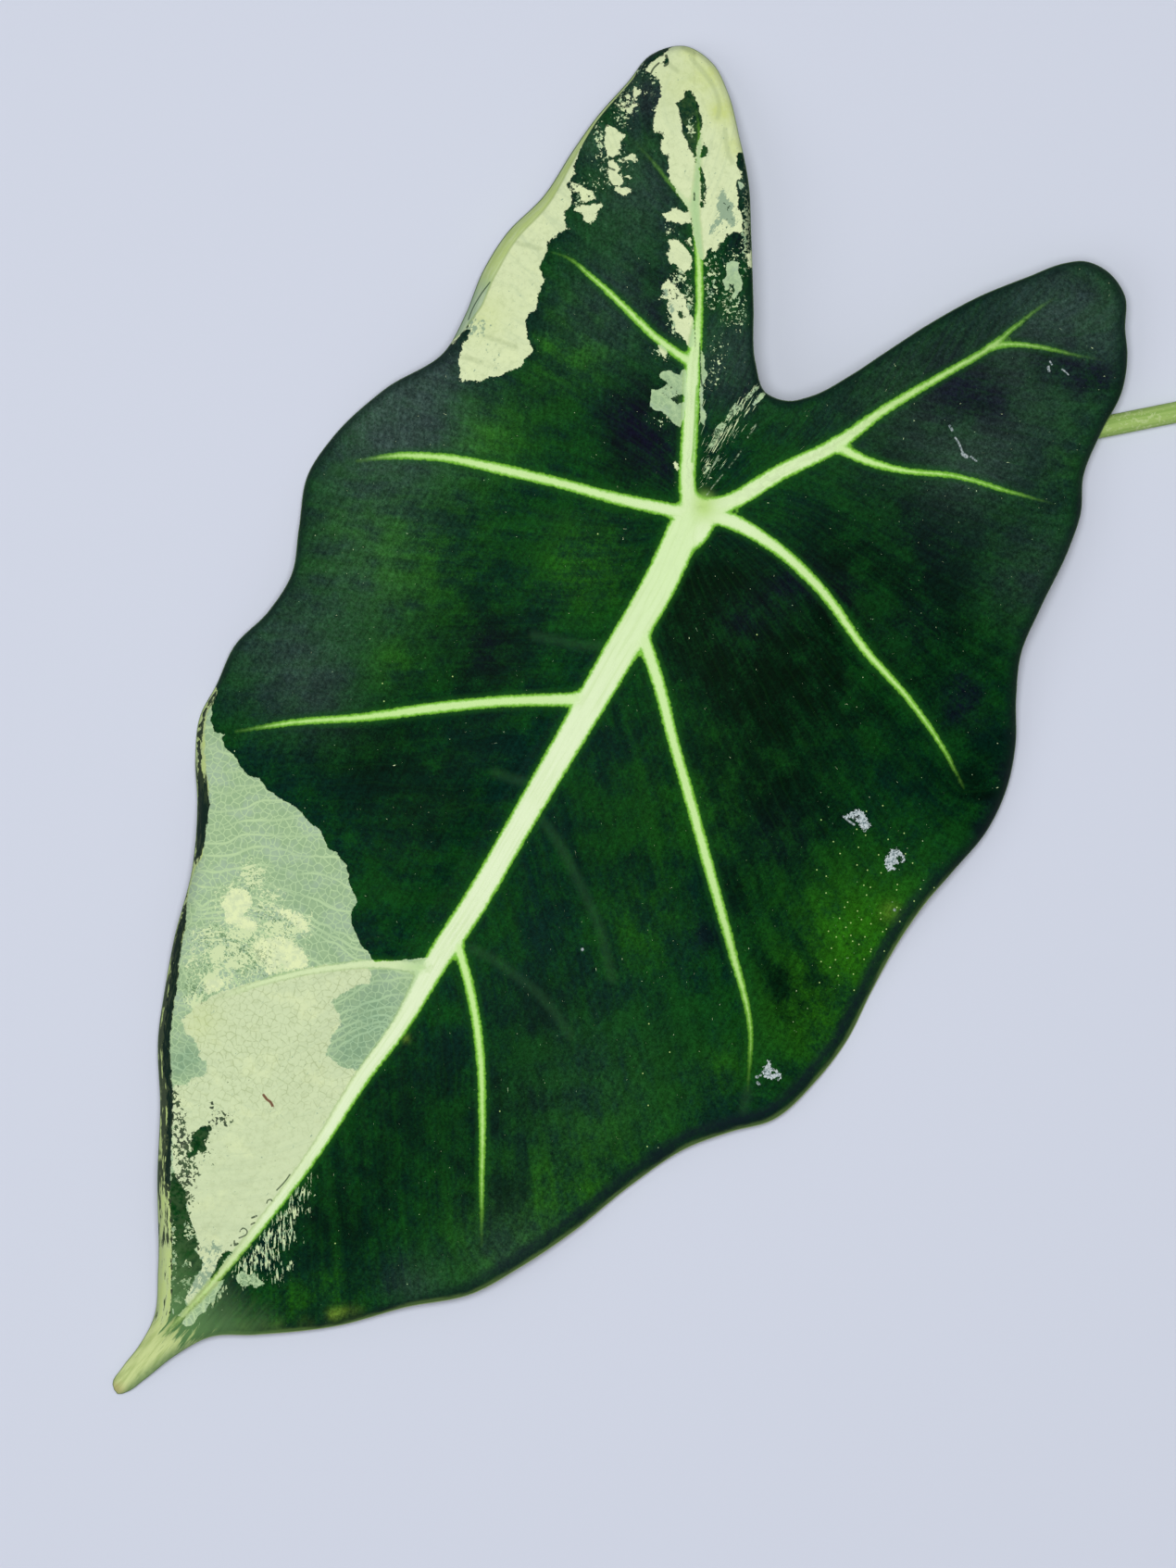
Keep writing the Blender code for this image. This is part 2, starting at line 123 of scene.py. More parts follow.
# Thin veins fan out between the main ones, about 3.5 mm apart. For each part of the blade: a main
# vein and how many mm of fan lie before its start and its end, or before shares of its length.
fans = {
    "left": {"midrib": ((0, 12), (0.21, 60), (0.49, 96), (1, 96)), "leftLobe": (-20, -108),
             "leftFirst": (0, 0), "leftSecond": (60, 60),
             "leftThird": ((0, 96), (0.25, 103), (0.72, 112), (0.8, 116), (0.92, 121), (1, 124)),
             "leftLobeBranch": (-54, -54), "leftLobeBack": (-88, -88)},
    "low": {"midrib": (2, 230), "leftThird": (116, 116)},
    "right": {"midrib": (0, 228), "rightLobe": (-50, -155), "rightFirst": (-35, -35),
              "rightSecond": (30, 30), "rightThird": (107, 107), "rightLobeBranch": (-88, -88),
              "rightLobeTip": (-135, -135)},
    "back": {"leftLobe": (0, -88), "rightLobe": (36, 130), "sinus": (18, 18)},
}
# Lines that thin veins run beside, in the photo's pixels, with the mm of fan before them.
fanGuides = {
    "left": [
        (73.5, [(228, 866), (260, 865), (285, 861), (305, 857)]),
        (80.5, [(222, 905), (245, 902), (262, 898), (290, 894), (315, 891), (345, 886)]),
        (87.5, [(230, 935), (256, 929), (280, 926), (310, 927), (340, 928), (368, 932)]),
        (94.5, [(214, 974), (240, 966), (270, 962), (300, 966), (322, 978), (350, 995), (390, 1016)]),
        (105, [(330, 1000), (342, 1010), (360, 1024), (384, 1038)]),
        (108.5, [(212, 998), (240, 997), (264, 1006), (284, 1018), (306, 1040)]),
        (115.5, [(207, 1022), (230, 1024), (246, 1029), (264, 1041), (278, 1052)]),
        (119, [(205, 1040), (222, 1044), (238, 1051), (252, 1062)]),
    ],
    "low": [
        (122.5, [(446, 1056), (425, 1064), (400, 1075), (370, 1088), (340, 1103), (300, 1126),
                 (250, 1160)]),
        (140, [(420, 1112), (392, 1122), (364, 1136), (320, 1164), (270, 1210)]),
    ],
}
# The grid that the fans are worked out on, mm but for its counts, sweeps and slopes.
flow = {"cell": 1.8, "sweeps": 900, "sinus": [(2, 2), (12, 12), (21, 22)], "beyond": 20, "cellsAround": 4,
        "veinReach": 0.75, "guideReach": 0.5, "slopes": (0.05, 6)}

# Thin veins that hardly show, in the photo's pixels.
faintVeins = [
    [(649, 697), (632, 697), (603, 692), (577, 687)],
    [(570, 845), (552, 840), (535, 834)],
    [(585, 885), (596, 899), (610, 922), (623, 947), (636, 974), (648, 1003), (655, 1031), (661, 1056)],
    [(510, 1024), (533, 1035), (556, 1052), (579, 1070), (600, 1094), (615, 1117)],
    [(386, 497), (364, 505), (345, 520)],
    [(807, 1177), (803, 1200)],
]

# Patches without green, in the photo's pixels: the pale grey-green ones first.
mintPatches = [
    [(229, 757), (228, 779), (231, 791), (244, 792), (239, 798), (244, 809), (254, 816), (260, 828),
     (269, 838), (280, 840), (288, 851), (303, 862), (314, 868), (327, 877), (336, 890), (347, 895),
     (350, 905), (355, 916), (364, 920), (373, 931), (378, 944), (377, 951), (387, 974), (379, 984),
     (381, 998), (390, 1019), (399, 1028), (402, 1037), (430, 1037), (475, 1032), (432, 1107),
     (392, 1162), (340, 1245), (290, 1312), (240, 1372), (214, 1404), (196, 1424), (186, 1420),
     (180, 1300), (184, 1215), (182, 1100), (186, 1040), (200, 1000), (206, 940), (212, 920),
     (212, 861), (214, 800), (222, 772)],
    [(710, 408), (714, 404), (720, 402), (726, 404), (733, 407), (736, 402), (740, 400), (742, 430),
     (740, 441), (738, 454), (733, 464), (727, 460), (721, 453), (715, 447), (707, 445), (701, 441),
     (703, 428), (704, 423), (712, 423), (721, 416), (715, 411)],
    [(785, 286), (789, 284), (797, 285), (797, 296), (801, 305), (800, 315), (794, 322), (792, 325),
     (788, 323), (793, 317), (792, 309), (787, 308), (787, 314), (784, 315), (780, 305), (785, 300),
     (784, 291)],
    [(242, 1382), (238, 1392), (233, 1399), (231, 1406), (223, 1411), (221, 1418), (213, 1423), (208, 1431),
     (200, 1434), (196, 1430), (204, 1418), (212, 1404), (224, 1388)],
    [(254, 1379), (261, 1373), (268, 1377), (275, 1374), (279, 1381), (285, 1386), (277, 1391), (270, 1387),
     (262, 1390), (257, 1385)],
    [(756, 376), (760, 385), (760, 400), (765, 406), (761, 412), (759, 420), (758, 440), (762, 448),
     (760, 462), (756, 458), (755, 430), (756, 405)],
    [(797, 198), (801, 199), (803, 204), (801, 208), (797, 205)],
    [(819, 418), (818, 422), (814, 425), (810, 429), (802, 438), (798, 444), (791, 450), (786, 455),
     (781, 457), (787, 447), (794, 435), (795, 441), (801, 436), (807, 427), (813, 421)],
    [(826, 427), (822, 432), (814, 440), (811, 438), (816, 432), (822, 426)],
    [(780, 458), (784, 460), (778, 468), (775, 474), (772, 480), (766, 485), (763, 483), (768, 479),
     (771, 473), (770, 467), (775, 460)],
]
creamPatches = [
    [(196, 1100), (201, 1096), (208, 1090), (213, 1085), (224, 1079), (228, 1075), (243, 1069),
     (259, 1065), (275, 1059), (298, 1055), (322, 1048), (338, 1043), (354, 1041), (377, 1042),
     (400, 1044), (401, 1054), (398, 1061), (388, 1063), (370, 1072), (358, 1080), (362, 1088),
     (368, 1097), (368, 1104), (364, 1112), (358, 1118), (357, 1125), (353, 1133), (352, 1140),
     (362, 1145), (368, 1152), (379, 1154), (398, 1156), (364, 1208), (330, 1260), (300, 1299),
     (270, 1335), (250, 1352), (238, 1362), (228, 1378), (216, 1398), (204, 1412), (198, 1404),
     (204, 1393), (211, 1379), (217, 1371), (218, 1364), (214, 1356), (210, 1349), (214, 1343),
     (211, 1334), (207, 1322), (203, 1311), (201, 1299), (198, 1284), (190, 1276),
     (186, 1256), (187, 1230), (186, 1204), (184, 1180), (190, 1172), (202, 1172), (208, 1164),
     (220, 1162), (223, 1158), (224, 1147), (217, 1144), (212, 1139),
     (219, 1136), (215, 1133), (210, 1121), (201, 1117)],
    [(646, 122), (639, 133), (634, 143), (632, 150), (629, 156), (626, 166), (620, 180), (621, 187),
     (616, 195), (612, 199), (617, 209), (618, 220), (614, 226), (610, 228), (611, 237), (611, 247),
     (604, 252), (600, 257), (592, 260), (592, 271), (586, 280), (583, 290), (586, 298), (590, 303),
     (585, 310), (582, 319), (580, 334), (571, 341), (568, 349), (569, 365), (572, 368), (576, 381),
     (565, 392), (563, 398), (553, 401), (542, 406), (528, 409), (519, 413), (507, 411), (497, 413),
     (498, 401), (495, 387), (499, 383), (500, 373), (507, 366), (508, 357), (507, 352), (490, 372),
     (484, 370), (500, 330), (530, 260), (590, 190), (625, 130)],
    [(724, 48), (721, 59), (723, 66), (717, 69), (711, 68), (707, 74), (705, 79), (709, 82),
     (713, 88), (714, 95), (715, 103), (711, 110), (709, 118), (706, 130), (706, 139), (708, 143),
     (714, 143), (717, 146), (715, 153), (714, 160), (717, 167), (722, 168), (723, 173), (722, 186),
     (724, 196), (728, 203), (733, 212), (737, 218), (741, 223), (744, 229), (747, 242), (750, 262),
     (757, 283), (762, 280), (763, 274), (764, 270), (768, 270), (770, 273), (774, 272), (775, 268),
     (778, 264), (784, 260), (785, 255), (787, 254), (798, 253), (801, 252), (801, 237), (800, 230),
     (796, 227), (797, 217), (795, 207), (795, 198), (800, 194), (800, 187), (796, 182), (795, 168),
     (800, 167), (812, 160), (800, 60), (760, 30), (735, 35)],
    [(686, 93), (693, 97), (689, 103), (688, 109), (684, 107), (684, 103), (682, 99)],
    [(674, 104), (678, 101), (682, 104), (678, 107)],
    [(667, 113), (676, 110), (681, 108), (682, 111), (676, 113), (671, 114)],
    [(674, 116), (679, 116), (683, 112), (688, 112), (689, 114), (684, 116), (682, 122), (678, 122)],
    [(655, 135), (661, 136), (667, 140), (676, 147), (672, 150), (670, 155), (671, 158), (669, 165),
     (665, 170), (661, 171), (657, 169), (654, 159), (654, 137)],
    [(657, 173), (664, 174), (667, 178), (672, 185), (667, 187), (674, 196), (672, 200), (666, 202),
     (661, 199), (658, 191), (657, 183)],
    [(665, 203), (671, 202), (682, 205), (682, 209), (674, 211), (666, 207)],
    [(677, 190), (682, 191), (682, 193), (675, 192)],
    [(667, 173), (673, 171), (678, 169), (685, 166), (686, 172), (689, 174), (686, 176), (681, 174),
     (672, 175)],
    [(616, 197), (623, 198), (629, 201), (634, 204), (640, 207), (643, 214), (639, 217), (630, 219),
     (628, 216), (629, 211), (625, 207), (618, 206)],
    [(620, 227), (625, 222), (634, 222), (650, 220), (651, 223), (645, 230), (644, 236), (639, 241),
     (634, 241), (631, 237), (629, 230), (623, 228)],
    [(613, 247), (619, 247), (616, 250)],
    [(698, 76), (702, 68), (711, 61), (721, 54), (730, 50), (723, 60), (716, 65), (711, 72), (704, 80)],
    [(716, 233), (721, 230), (725, 228), (727, 226), (732, 227), (736, 230), (738, 233), (744, 230),
     (747, 242), (740, 241), (737, 244), (732, 242), (720, 240), (717, 236)],
    [(721, 260), (726, 260), (732, 259), (736, 264), (739, 268), (743, 272), (746, 277), (747, 283),
     (746, 290), (741, 296), (737, 297), (733, 291), (729, 286), (723, 285), (720, 276), (724, 271)],
    [(741, 262), (745, 259), (749, 270), (749, 276), (745, 268)],
    [(720, 303), (726, 308), (730, 311), (733, 318), (739, 320), (740, 328), (743, 337), (747, 343),
     (749, 351), (750, 377), (743, 378), (741, 370), (736, 364), (732, 361), (729, 360), (729, 352),
     (726, 346), (722, 338), (721, 331), (722, 325), (716, 323), (711, 325), (718, 319), (713, 314),
     (716, 308)],
    [(710, 374), (714, 375), (721, 381), (718, 389), (713, 386)],
    [(727, 500), (731, 501), (733, 508), (730, 509)],
    [(806, 277), (811, 272), (815, 290), (811, 292), (806, 288)],
    [(188, 1321), (191, 1324), (190, 1337), (187, 1333)],
    [(188, 1387), (193, 1389), (194, 1396), (190, 1400), (187, 1394)],
]
brightPatches = [
    [(240, 975), (246, 965), (254, 959), (265, 960), (273, 968), (273, 979), (267, 983), (262, 989),
     (268, 990), (278, 995), (280, 1000), (270, 1006), (262, 1000), (250, 998), (243, 995),
     (245, 984), (240, 981)],
    [(273, 1025), (281, 1014), (294, 1013), (305, 1011), (316, 1017), (327, 1025), (334, 1036),
     (332, 1044), (322, 1047), (308, 1046), (306, 1038), (300, 1047), (290, 1054), (287, 1043),
     (281, 1035)],
    [(297, 983), (306, 981), (319, 984), (327, 990), (335, 1003), (332, 1006), (322, 1000), (311, 992)],
    [(220, 1063), (226, 1057), (235, 1055), (243, 1060), (240, 1066), (227, 1073), (221, 1071)],
    [(341, 1150), (352, 1146), (364, 1153), (354, 1156), (346, 1162)],
    [(262, 1222), (274, 1216), (282, 1224), (272, 1232)],
]
# Dark green left inside the pale patches.
darkIslands = [
    [(740, 98), (744, 97), (749, 101), (752, 107), (755, 118), (757, 125), (759, 135), (757, 141),
     (756, 150), (754, 156), (752, 165), (752, 179), (749, 168), (744, 160), (740, 151), (737, 140),
     (735, 131), (734, 120), (729, 111), (735, 109), (739, 107)],
    [(761, 154), (765, 165), (763, 171), (756, 171), (758, 164)],
    [(755, 179), (760, 190), (762, 194), (763, 204), (762, 217), (760, 225), (757, 227), (756, 223),
     (758, 217), (757, 203), (756, 194)],
    [(208, 1223), (214, 1220), (221, 1215), (232, 1216), (226, 1221), (226, 1227), (221, 1232),
     (224, 1240), (220, 1245), (214, 1243), (211, 1246), (205, 1252), (200, 1248), (208, 1242),
     (205, 1237), (208, 1229)],
    [(723, 433), (729, 430), (735, 428), (738, 429), (739, 435), (730, 439)],
    [(186, 1262), (190, 1270), (196, 1280), (200, 1287), (203, 1311),
     (207, 1322), (211, 1334), (214, 1343), (210, 1349), (214, 1356), (218, 1364), (217, 1371),
     (211, 1379), (204, 1393), (198, 1404), (202, 1411), (188, 1424), (182, 1400), (182, 1300)],
    [(250, 1352), (245, 1351), (238, 1356), (235, 1362), (232, 1370), (227, 1380), (228, 1385),
     (216, 1400), (203, 1414), (206, 1415), (222, 1398), (229, 1386), (236, 1373), (242, 1362)],
    [(731, 339), (736, 338), (739, 344), (733, 346)],
    [(734, 331), (737, 332), (736, 334)],
    [(740, 318), (745, 312), (748, 330), (748, 341), (744, 336)],
]
# Thin dark lines on the pale patches: the pixels that they pass and how wide they are.
darkThreads = [
    ([(697, 61), (705, 55), (715, 51), (727, 48)], 2), ([(690, 72), (700, 66), (708, 60), (716, 58)], 3),
    ([(720, 59), (721, 68), (718, 70)], 3), ([(703, 79), (706, 73), (712, 67)], 2),
    ([(259, 1330), (262, 1326), (266, 1328), (267, 1332), (263, 1335), (258, 1337)], 1.4),
    ([(253, 1340), (253, 1345), (257, 1343), (249, 1345)], 1.6), ([(272, 1315), (277, 1313)], 2),
    ([(271, 1322), (275, 1320)], 1.6), ([(288, 1299), (289, 1296), (293, 1295), (294, 1297)], 1.4),
    ([(299, 1285), (304, 1280), (309, 1274), (313, 1268)], 1.5), ([(750, 209), (750, 218)], 2),
    ([(755, 372), (756, 395), (756, 406), (758, 419)], 1.6), ([(741, 262), (746, 270), (748, 282)], 2),
    ([(749, 343), (750, 360), (750, 376)], 1.2), ([(657, 181), (664, 184)], 2.2),
    ([(628, 220), (638, 221)], 2.4), ([(530, 305), (520, 319), (511, 335), (507, 346)], 1.2),
]
# Specks of one colour on the other: x, y, half width, half height, turn if any, how dense.
paleSpecks = [
    (660, 176, 26, 34, 0.62), (676, 112, 16, 22, 0.8), (648, 152, 8, 26, 0.95),
    (671, 128, 12, 15, 0.8), (625, 214, 10, 16, 0.8), (768, 300, 11, 44, 0.85),
    (789, 330, 17, 28, 0.72), (734, 300, 10, 14, 0.95), (744, 325, 7, 26, 0.95),
    (728, 352, 10, 18, 0.9), (715, 384, 11, 10, 0.8), (805, 250, 7, 56, 1.0),
    (800, 344, 11, 20, 0.75), (772, 395, 15, 40, 0.6), (712, 455, 18, 13, 0.6),
    (764, 508, 7, 22, 0.6), (746, 139, 7, 16, 0.95), (762, 208, 5, 14, 0.8),
    (204, 1330, 8, 13, 1.1), (201, 1364, 7, 7, 1.0), (200, 1386, 10, 8, 1.0),
    (190, 1404, 8, 8, 0.9), (187, 1350, 5, 44, 0.95), (724, 250, 11, 9, 0.7),
    (700, 90, 18, 30, 0.5), (690, 70, 12, 14, 0.8), (640, 200, 22, 16, 0.5),
    (804, 180, 6, 20, 0.7), (748, 395, 14, 5, 0.4), (790, 285, 12, 20, 0.7),
]
strokeSpecks = [
    (322, 1298, 16, 40, -24, 0.85), (306, 1328, 24, 32, -24, 0.9), (284, 1354, 26, 30, -30, 0.95),
    (266, 1374, 20, 18, -20, 0.95), (298, 1378, 14, 12, 0.8), (312, 1368, 8, 10, 0.8),
    (796, 442, 8, 44, -40, 0.85), (774, 474, 13, 26, -32, 0.95), (788, 466, 12, 24, -34, 0.75),
    (762, 506, 7, 26, -8, 0.75), (806, 440, 9, 24, -42, 0.7), (756, 440, 5, 40, 0.7),
    (775, 500, 12, 18, -30, 0.5), (232, 1404, 10, 26, -38, 0.8), (212, 1428, 8, 12, -38, 0.7),
]
creamSpecks = [
    (272, 946, 22, 22, 0.9), (264, 1006, 26, 16, 1.1), (302, 1004, 34, 18, -12, 1.0),
    (246, 1034, 48, 26, -14, 0.95), (304, 1040, 30, 16, 1.05), (226, 1010, 32, 16, 0.8),
    (212, 1082, 16, 16, 0.9), (326, 1000, 18, 18, 0.95), (290, 975, 24, 24, 0.8),
    (250, 972, 30, 26, 0.75), (286, 1026, 40, 30, 0.9), (238, 1060, 26, 14, 0.95),
    (262, 996, 60, 60, 0.55), (218, 1040, 30, 40, 0.7),
]
darkSpecks = [
    (264, 1030, 52, 28, -14, 0.9), (304, 1000, 30, 20, -20, 0.9), (232, 1012, 36, 18, 0.8),
    (272, 950, 22, 20, 0.7), (212, 1070, 22, 20, 0.8), (286, 985, 22, 16, 0.7),
    (215, 1046, 24, 18, 0.6), (240, 1210, 16, 16, 0.85), (730, 318, 13, 22, 0.75),
    (676, 172, 14, 7, 0.8), (621, 202, 10, 10, 0.8), (784, 232, 14, 26, 0.45),
    (194, 1222, 10, 44, 1.1), (203, 1260, 16, 26, 1.05), (190, 1190, 8, 22, 1.0),
    (202, 1238, 12, 18, 1.1), (224, 1246, 14, 14, 0.6), (200, 1290, 8, 14, 1.1),
    (228, 1196, 12, 10, 0.7), (206, 1296, 8, 18, 0.8), (212, 1346, 6, 10, 0.7),
    (710, 90, 6, 16, 0.6), (802, 215, 7, 30, 0.7), (640, 214, 10, 8, 0.6),
    (200, 1268, 14, 32, 1.1), (798, 442, 14, 40, -40, 1.0), (774, 472, 10, 18, -30, 1.1),
    (722, 425, 14, 14, 0.6), (208, 1238, 16, 16, 1.1), (269, 1382, 16, 10, 0.9),
    (226, 1408, 16, 10, -40, 0.6),
]
# Silvery scars: flakes and threads. Then where pin-prick dots are dense.
scarFlakes = [
    [(910, 881), (913, 880), (923, 875), (929, 875), (933, 881), (939, 890), (934, 897), (930, 892),
     (925, 886), (920, 882), (914, 883)],
    [(962, 917), (968, 917), (975, 923), (977, 929), (972, 931), (965, 933), (962, 936), (967, 938),
     (958, 939), (955, 929), (959, 923)],
    [(826, 1152), (829, 1152), (829, 1146), (831, 1146), (832, 1152), (837, 1155), (842, 1160),
     (844, 1163), (841, 1166), (839, 1163), (836, 1163), (833, 1165), (827, 1163), (824, 1160),
     (825, 1154)],
]
scarThreads = [
    ([(910, 881), (916, 886), (922, 890)], 2), ([(1024, 461), (1027, 466)], 2.6),
    ([(1030, 474), (1034, 480), (1037, 487), (1039, 492)], 1.8), ([(1038, 491), (1042, 494)], 4),
    ([(1047, 494), (1053, 499)], 1.6), ([(817, 1163), (818, 1163)], 3), ([(821, 1161), (822, 1161)], 2.4),
    ([(818, 1169), (820, 1171)], 2.6), ([(1133, 391), (1135, 394)], 1.7),
    ([(1131, 397), (1132, 401)], 2.7), ([(1146, 399), (1149, 401)], 1.5), ([(1151, 403), (1153, 405)],
                                                                            1.3), ([(966, 982),
                                                                                    (967, 983)], 3),
                                                                                    ([(629, 1024),
                                                                                      (629, 1026)], 3),
]
# Thin pale lines on the green and the cream.
paleThreads = [
    ([(816, 460), (811, 468), (807, 474)], 1.6), ([(800, 488), (793, 498), (787, 506)], 1.5),
    ([(780, 514), (771, 525), (763, 536)], 1.3), ([(296, 1196), (306, 1206), (318, 1218)], 1.3),
    ([(696, 66), (682, 80), (664, 100), (650, 116), (641, 130)], 1.6), ([(776, 492), (768, 506),
                                                                         (762, 520)], 1.2),
]
scarHoles = [(971, 927, 3.2, 3, 0), (835, 1158, 3, 2, 30), (924, 882, 3, 2, 0)]
redScratch = [(285, 1182), (289, 1187), (292, 1189), (295, 1195)]
dotClouds = [(935, 975, 60, 95, 1.3), (860, 700, 150, 130, 0.02), (560, 640, 200, 130, 0.018),
             (700, 1150, 160, 140, 0.05), (380, 1380, 60, 40, 0.12)]
# Where the green is livelier, where it is nearly black, and where a grey sheen is painted on: x, y, size,
# much.
brightGreens = [
    (440, 600, 80, 0.6), (635, 612, 44, 0.9), (930, 1010, 75, 1.0), (605, 1310, 65, 0.95),
    (380, 560, 60, 0.3), (450, 600, 60, 0.2),
    (890, 1110, 60, 0.5), (520, 478, 42, 0.6), (612, 372, 42, 0.9), (422, 715, 28, 0.55),
    (560, 440, 60, 0.2), (760, 870, 80, 0.25),
    (700, 1220, 90, 0.2), (350, 1400, 40, 0.65), (312, 1412, 26, 0.35), (690, 1000, 44, 0.4),
    (782, 1155, 24, 0.5), (640, 1238, 44, 0.25), (622, 375, 34, 0.3), (530, 466, 30, 0.3),
    (1140, 500, 30, 0.3), (870, 1080, 50, 0.4), (690, 150, 18, 0.5),
    (530, 1340, 60, 0.4),
]
deepGreens = [
    (820, 750, 120, 1.0), (1000, 520, 110, 0.5), (960, 420, 40, 0.5), (1040, 430, 60, 0.7),
    (1100, 400, 50, 0.6), (500, 720, 90, 0.4), (440, 1220, 90, 0.7),
    (690, 500, 50, 0.9), (850, 900, 80, 0.7), (1060, 860, 60, 0.8), (760, 650, 70, 1.0),
    (380, 800, 60, 0.5), (1000, 700, 120, 0.9), (660, 900, 60, 0.5), (470, 880, 70, 0.6),
    (900, 620, 60, 0.6), (360, 1320, 50, 0.7), (560, 1180, 40, 0.6), (545, 1290, 32, 0.5),
    (850, 1060, 50, 0.6), (790, 1000, 34, 0.4), (850, 1108, 34, 0.6), (590, 1090, 40, 0.5),
    (800, 955, 24, 0.5),
    (720, 1120, 30, 0.3), (835, 1045, 26, 0.4), (300, 560, 30, 0.3),
    (690, 465, 36, 0.9), (524, 702, 45, 0.8), (690, 420, 24, 0.6), (400, 800, 50, 0.4),
]
# Painted sheen: greyer spots that stand in for light reflected off the blade.
sheenSpots = [
    (300, 690, 80, 0.45), (430, 440, 90, 0.75), (560, 1370, 60, 0.4), (640, 1180, 110, 0.14),
    (450, 1392, 34, 0.4), (425, 455, 60, 0.35), (400, 640, 60, 0.25), (660, 330, 70, 0.4),
    (690, 200, 70, 0.5),
    (1160, 330, 80, 0.7), (790, 390, 55, 0.45), (1100, 450, 90, 0.35), (980, 430, 90, 0.3),
    (380, 560, 70, 0.3), (1130, 620, 60, 0.35), (340, 740, 50, 0.35), (700, 100, 26, 0.9),
    (805, 200, 14, 0.7), (640, 150, 18, 0.4), (480, 392, 24, 0.7), (1045, 505, 50, 0.35),
    (435, 452, 40, 0.2),
]
dusks = [
    (1035, 425, 40, 1.0), (1078, 438, 24, 0.6), (1160, 402, 30, 0.9), (1190, 410, 20, 0.7),
    (1128, 394, 24, 0.6),
    (1178, 305, 26, 0.5), (1130, 292, 22, 0.4), (700, 105, 22, 0.7), (690, 470, 32, 0.8),
    (812, 425, 20, 0.7),
    (1040, 765, 26, 0.9), (1040, 735, 16, 0.5), (1078, 880, 16, 1.0), (1060, 906, 15, 0.9),
    (1034, 934, 14, 0.8),
    (1088, 835, 14, 0.9), (1098, 790, 12, 0.6), (862, 625, 24, 0.6), (800, 672, 24, 0.5),
    (840, 645, 26, 0.4),
    (437, 455, 30, 0.4), (480, 392, 22, 0.6), (980, 680, 36, 0.4), (1010, 590, 36, 0.35),
    (795, 215, 12, 0.6),
    (640, 705, 26, 0.3), (524, 700, 30, 0.5), (845, 905, 34, 0.4), (960, 560, 26, 0.4), (800, 270, 12, 0.6),
    (708, 300, 24, 0.8), (712, 345, 22, 0.8), (668, 440, 26, 0.6), (716, 500, 24, 0.9), (598, 430, 30, 0.4),
    (560, 420, 24, 0.3), (600, 560, 20, 0.4), (470, 700, 26, 0.4), (910, 640, 24, 0.4),
    (760, 1010, 26, 0.4),
]
# Pale patches: where they are greyer, deeper or yellower. Then yellowish places in the green.
greyPales = [(780, 212, 5, 1.0), (781, 222, 7, 1.1), (784, 233, 7, 1.2), (791, 241, 6, 0.9),
             (775, 243, 6, 0.9), (769, 251, 4, 0.7), (788, 224, 4, 0.7), (774, 260, 3, 0.5),
             (212, 1382, 22, 0.7),
             (232, 1350, 12, 0.5), (512, 352, 14, 0.7), (540, 392, 12, 0.3), (716, 318, 6, 0.9),
             (725, 336, 5, 0.8), (800, 290, 10, 0.3)]
deepMints = [(405, 1095, 40, 1.0), (380, 1140, 24, 0.8), (206, 1140, 20, 0.9), (192, 1150, 14, 0.6),
             (320, 960, 40, 0.25), (350, 1010, 36, 0.25)]
warmCreams = [(748, 50, 12, 0.9), (770, 80, 20, 0.8), (785, 120, 18, 0.8), (795, 160, 14, 0.7),
              (775, 120, 10, 0.6), (735, 90, 26, 0.3), (520, 340, 26, 0.4), (216, 1102, 22, 0.3)]
yellowPlaces = [(360, 1422, 8, 0.75), (371, 1417, 6, 0.6), (384, 1419, 8, 0.35), (262, 1438, 8, 0.3),
                (282, 1437, 9, 0.25), (300, 1436, 7, 0.3), (330, 1432, 9, 0.25), (437, 1120, 5, 0.8),
                (962, 985, 10, 0.4)]
# The turned-down left margin, down the photo: y, then mm from the edge between which painted shade
# makes it nearly black, and how dark the painted shade on its streaks is.
stripRows = [
    (740, 0.4, 1.2, 0.2), (775, 0.35, 1.35, 0.2), (806, 0.3, 1.45, 0.25), (830, 0.35, 1.6, 0.35),
    (848, 0.4, 2.2, 0.5), (865, 0.4, 3.0, 0.7), (905, 0.35, 2.6, 0.7), (925, 0.3, 1.5, 0.5),
    (935, 0.02, 0.5, 0.1), (975, 0.02, 0.55, 0.15), (990, 0.3, 1.8, 0.6), (1020, 0.5, 2.1, 0.7),
    (1060, 0.9, 2.6, 0.75), (1150, 1.5, 3.1, 0.75), (1170, 1.8, 3.0, 0.72), (1240, 1.9, 3.6, 0.68),
    (1275, 1.9, 2.9, 0.55), (1300, 2.6, 3.0, 0.4), (1360, 2.8, 3.1, 0.28), (1440, 3.0, 3.1, 0.2),
]
stripWidths = [(740, 1.3), (800, 2.2), (860, 3.0), (925, 2.2), (940, 0.7), (975, 0.8), (1000, 2.2),
               (1060, 2.8), (1160, 3.1), (1300, 2.9), (1440, 3.2)]
lobeWidths = [(50, 0.3), (62, 0.5), (130, 0.7), (160, 1.3), (200, 1.8), (240, 2.6), (290, 3.0), (330, 2.8),
              (350, 1.7), (400, 0.9)]
# An ellipse that widens the vein junction, the slit above it and thin veins in the cream, in pixels.
hubFill = (757, 573, 10, 22, -31)
slit = [(752, 419), (751, 440), (750, 459), (749, 474), (747, 500)]
capVeins = [[(747, 62), (761, 79), (769, 91), (775, 106), (777, 118), (775, 128)],
            [(783, 141), (787, 169), (791, 177)], [(722, 68), (732, 76)], [(738, 50), (749, 57)],
            [(558, 262), (585, 269)], [(522, 363), (558, 376)], [(499, 386), (521, 392)]]
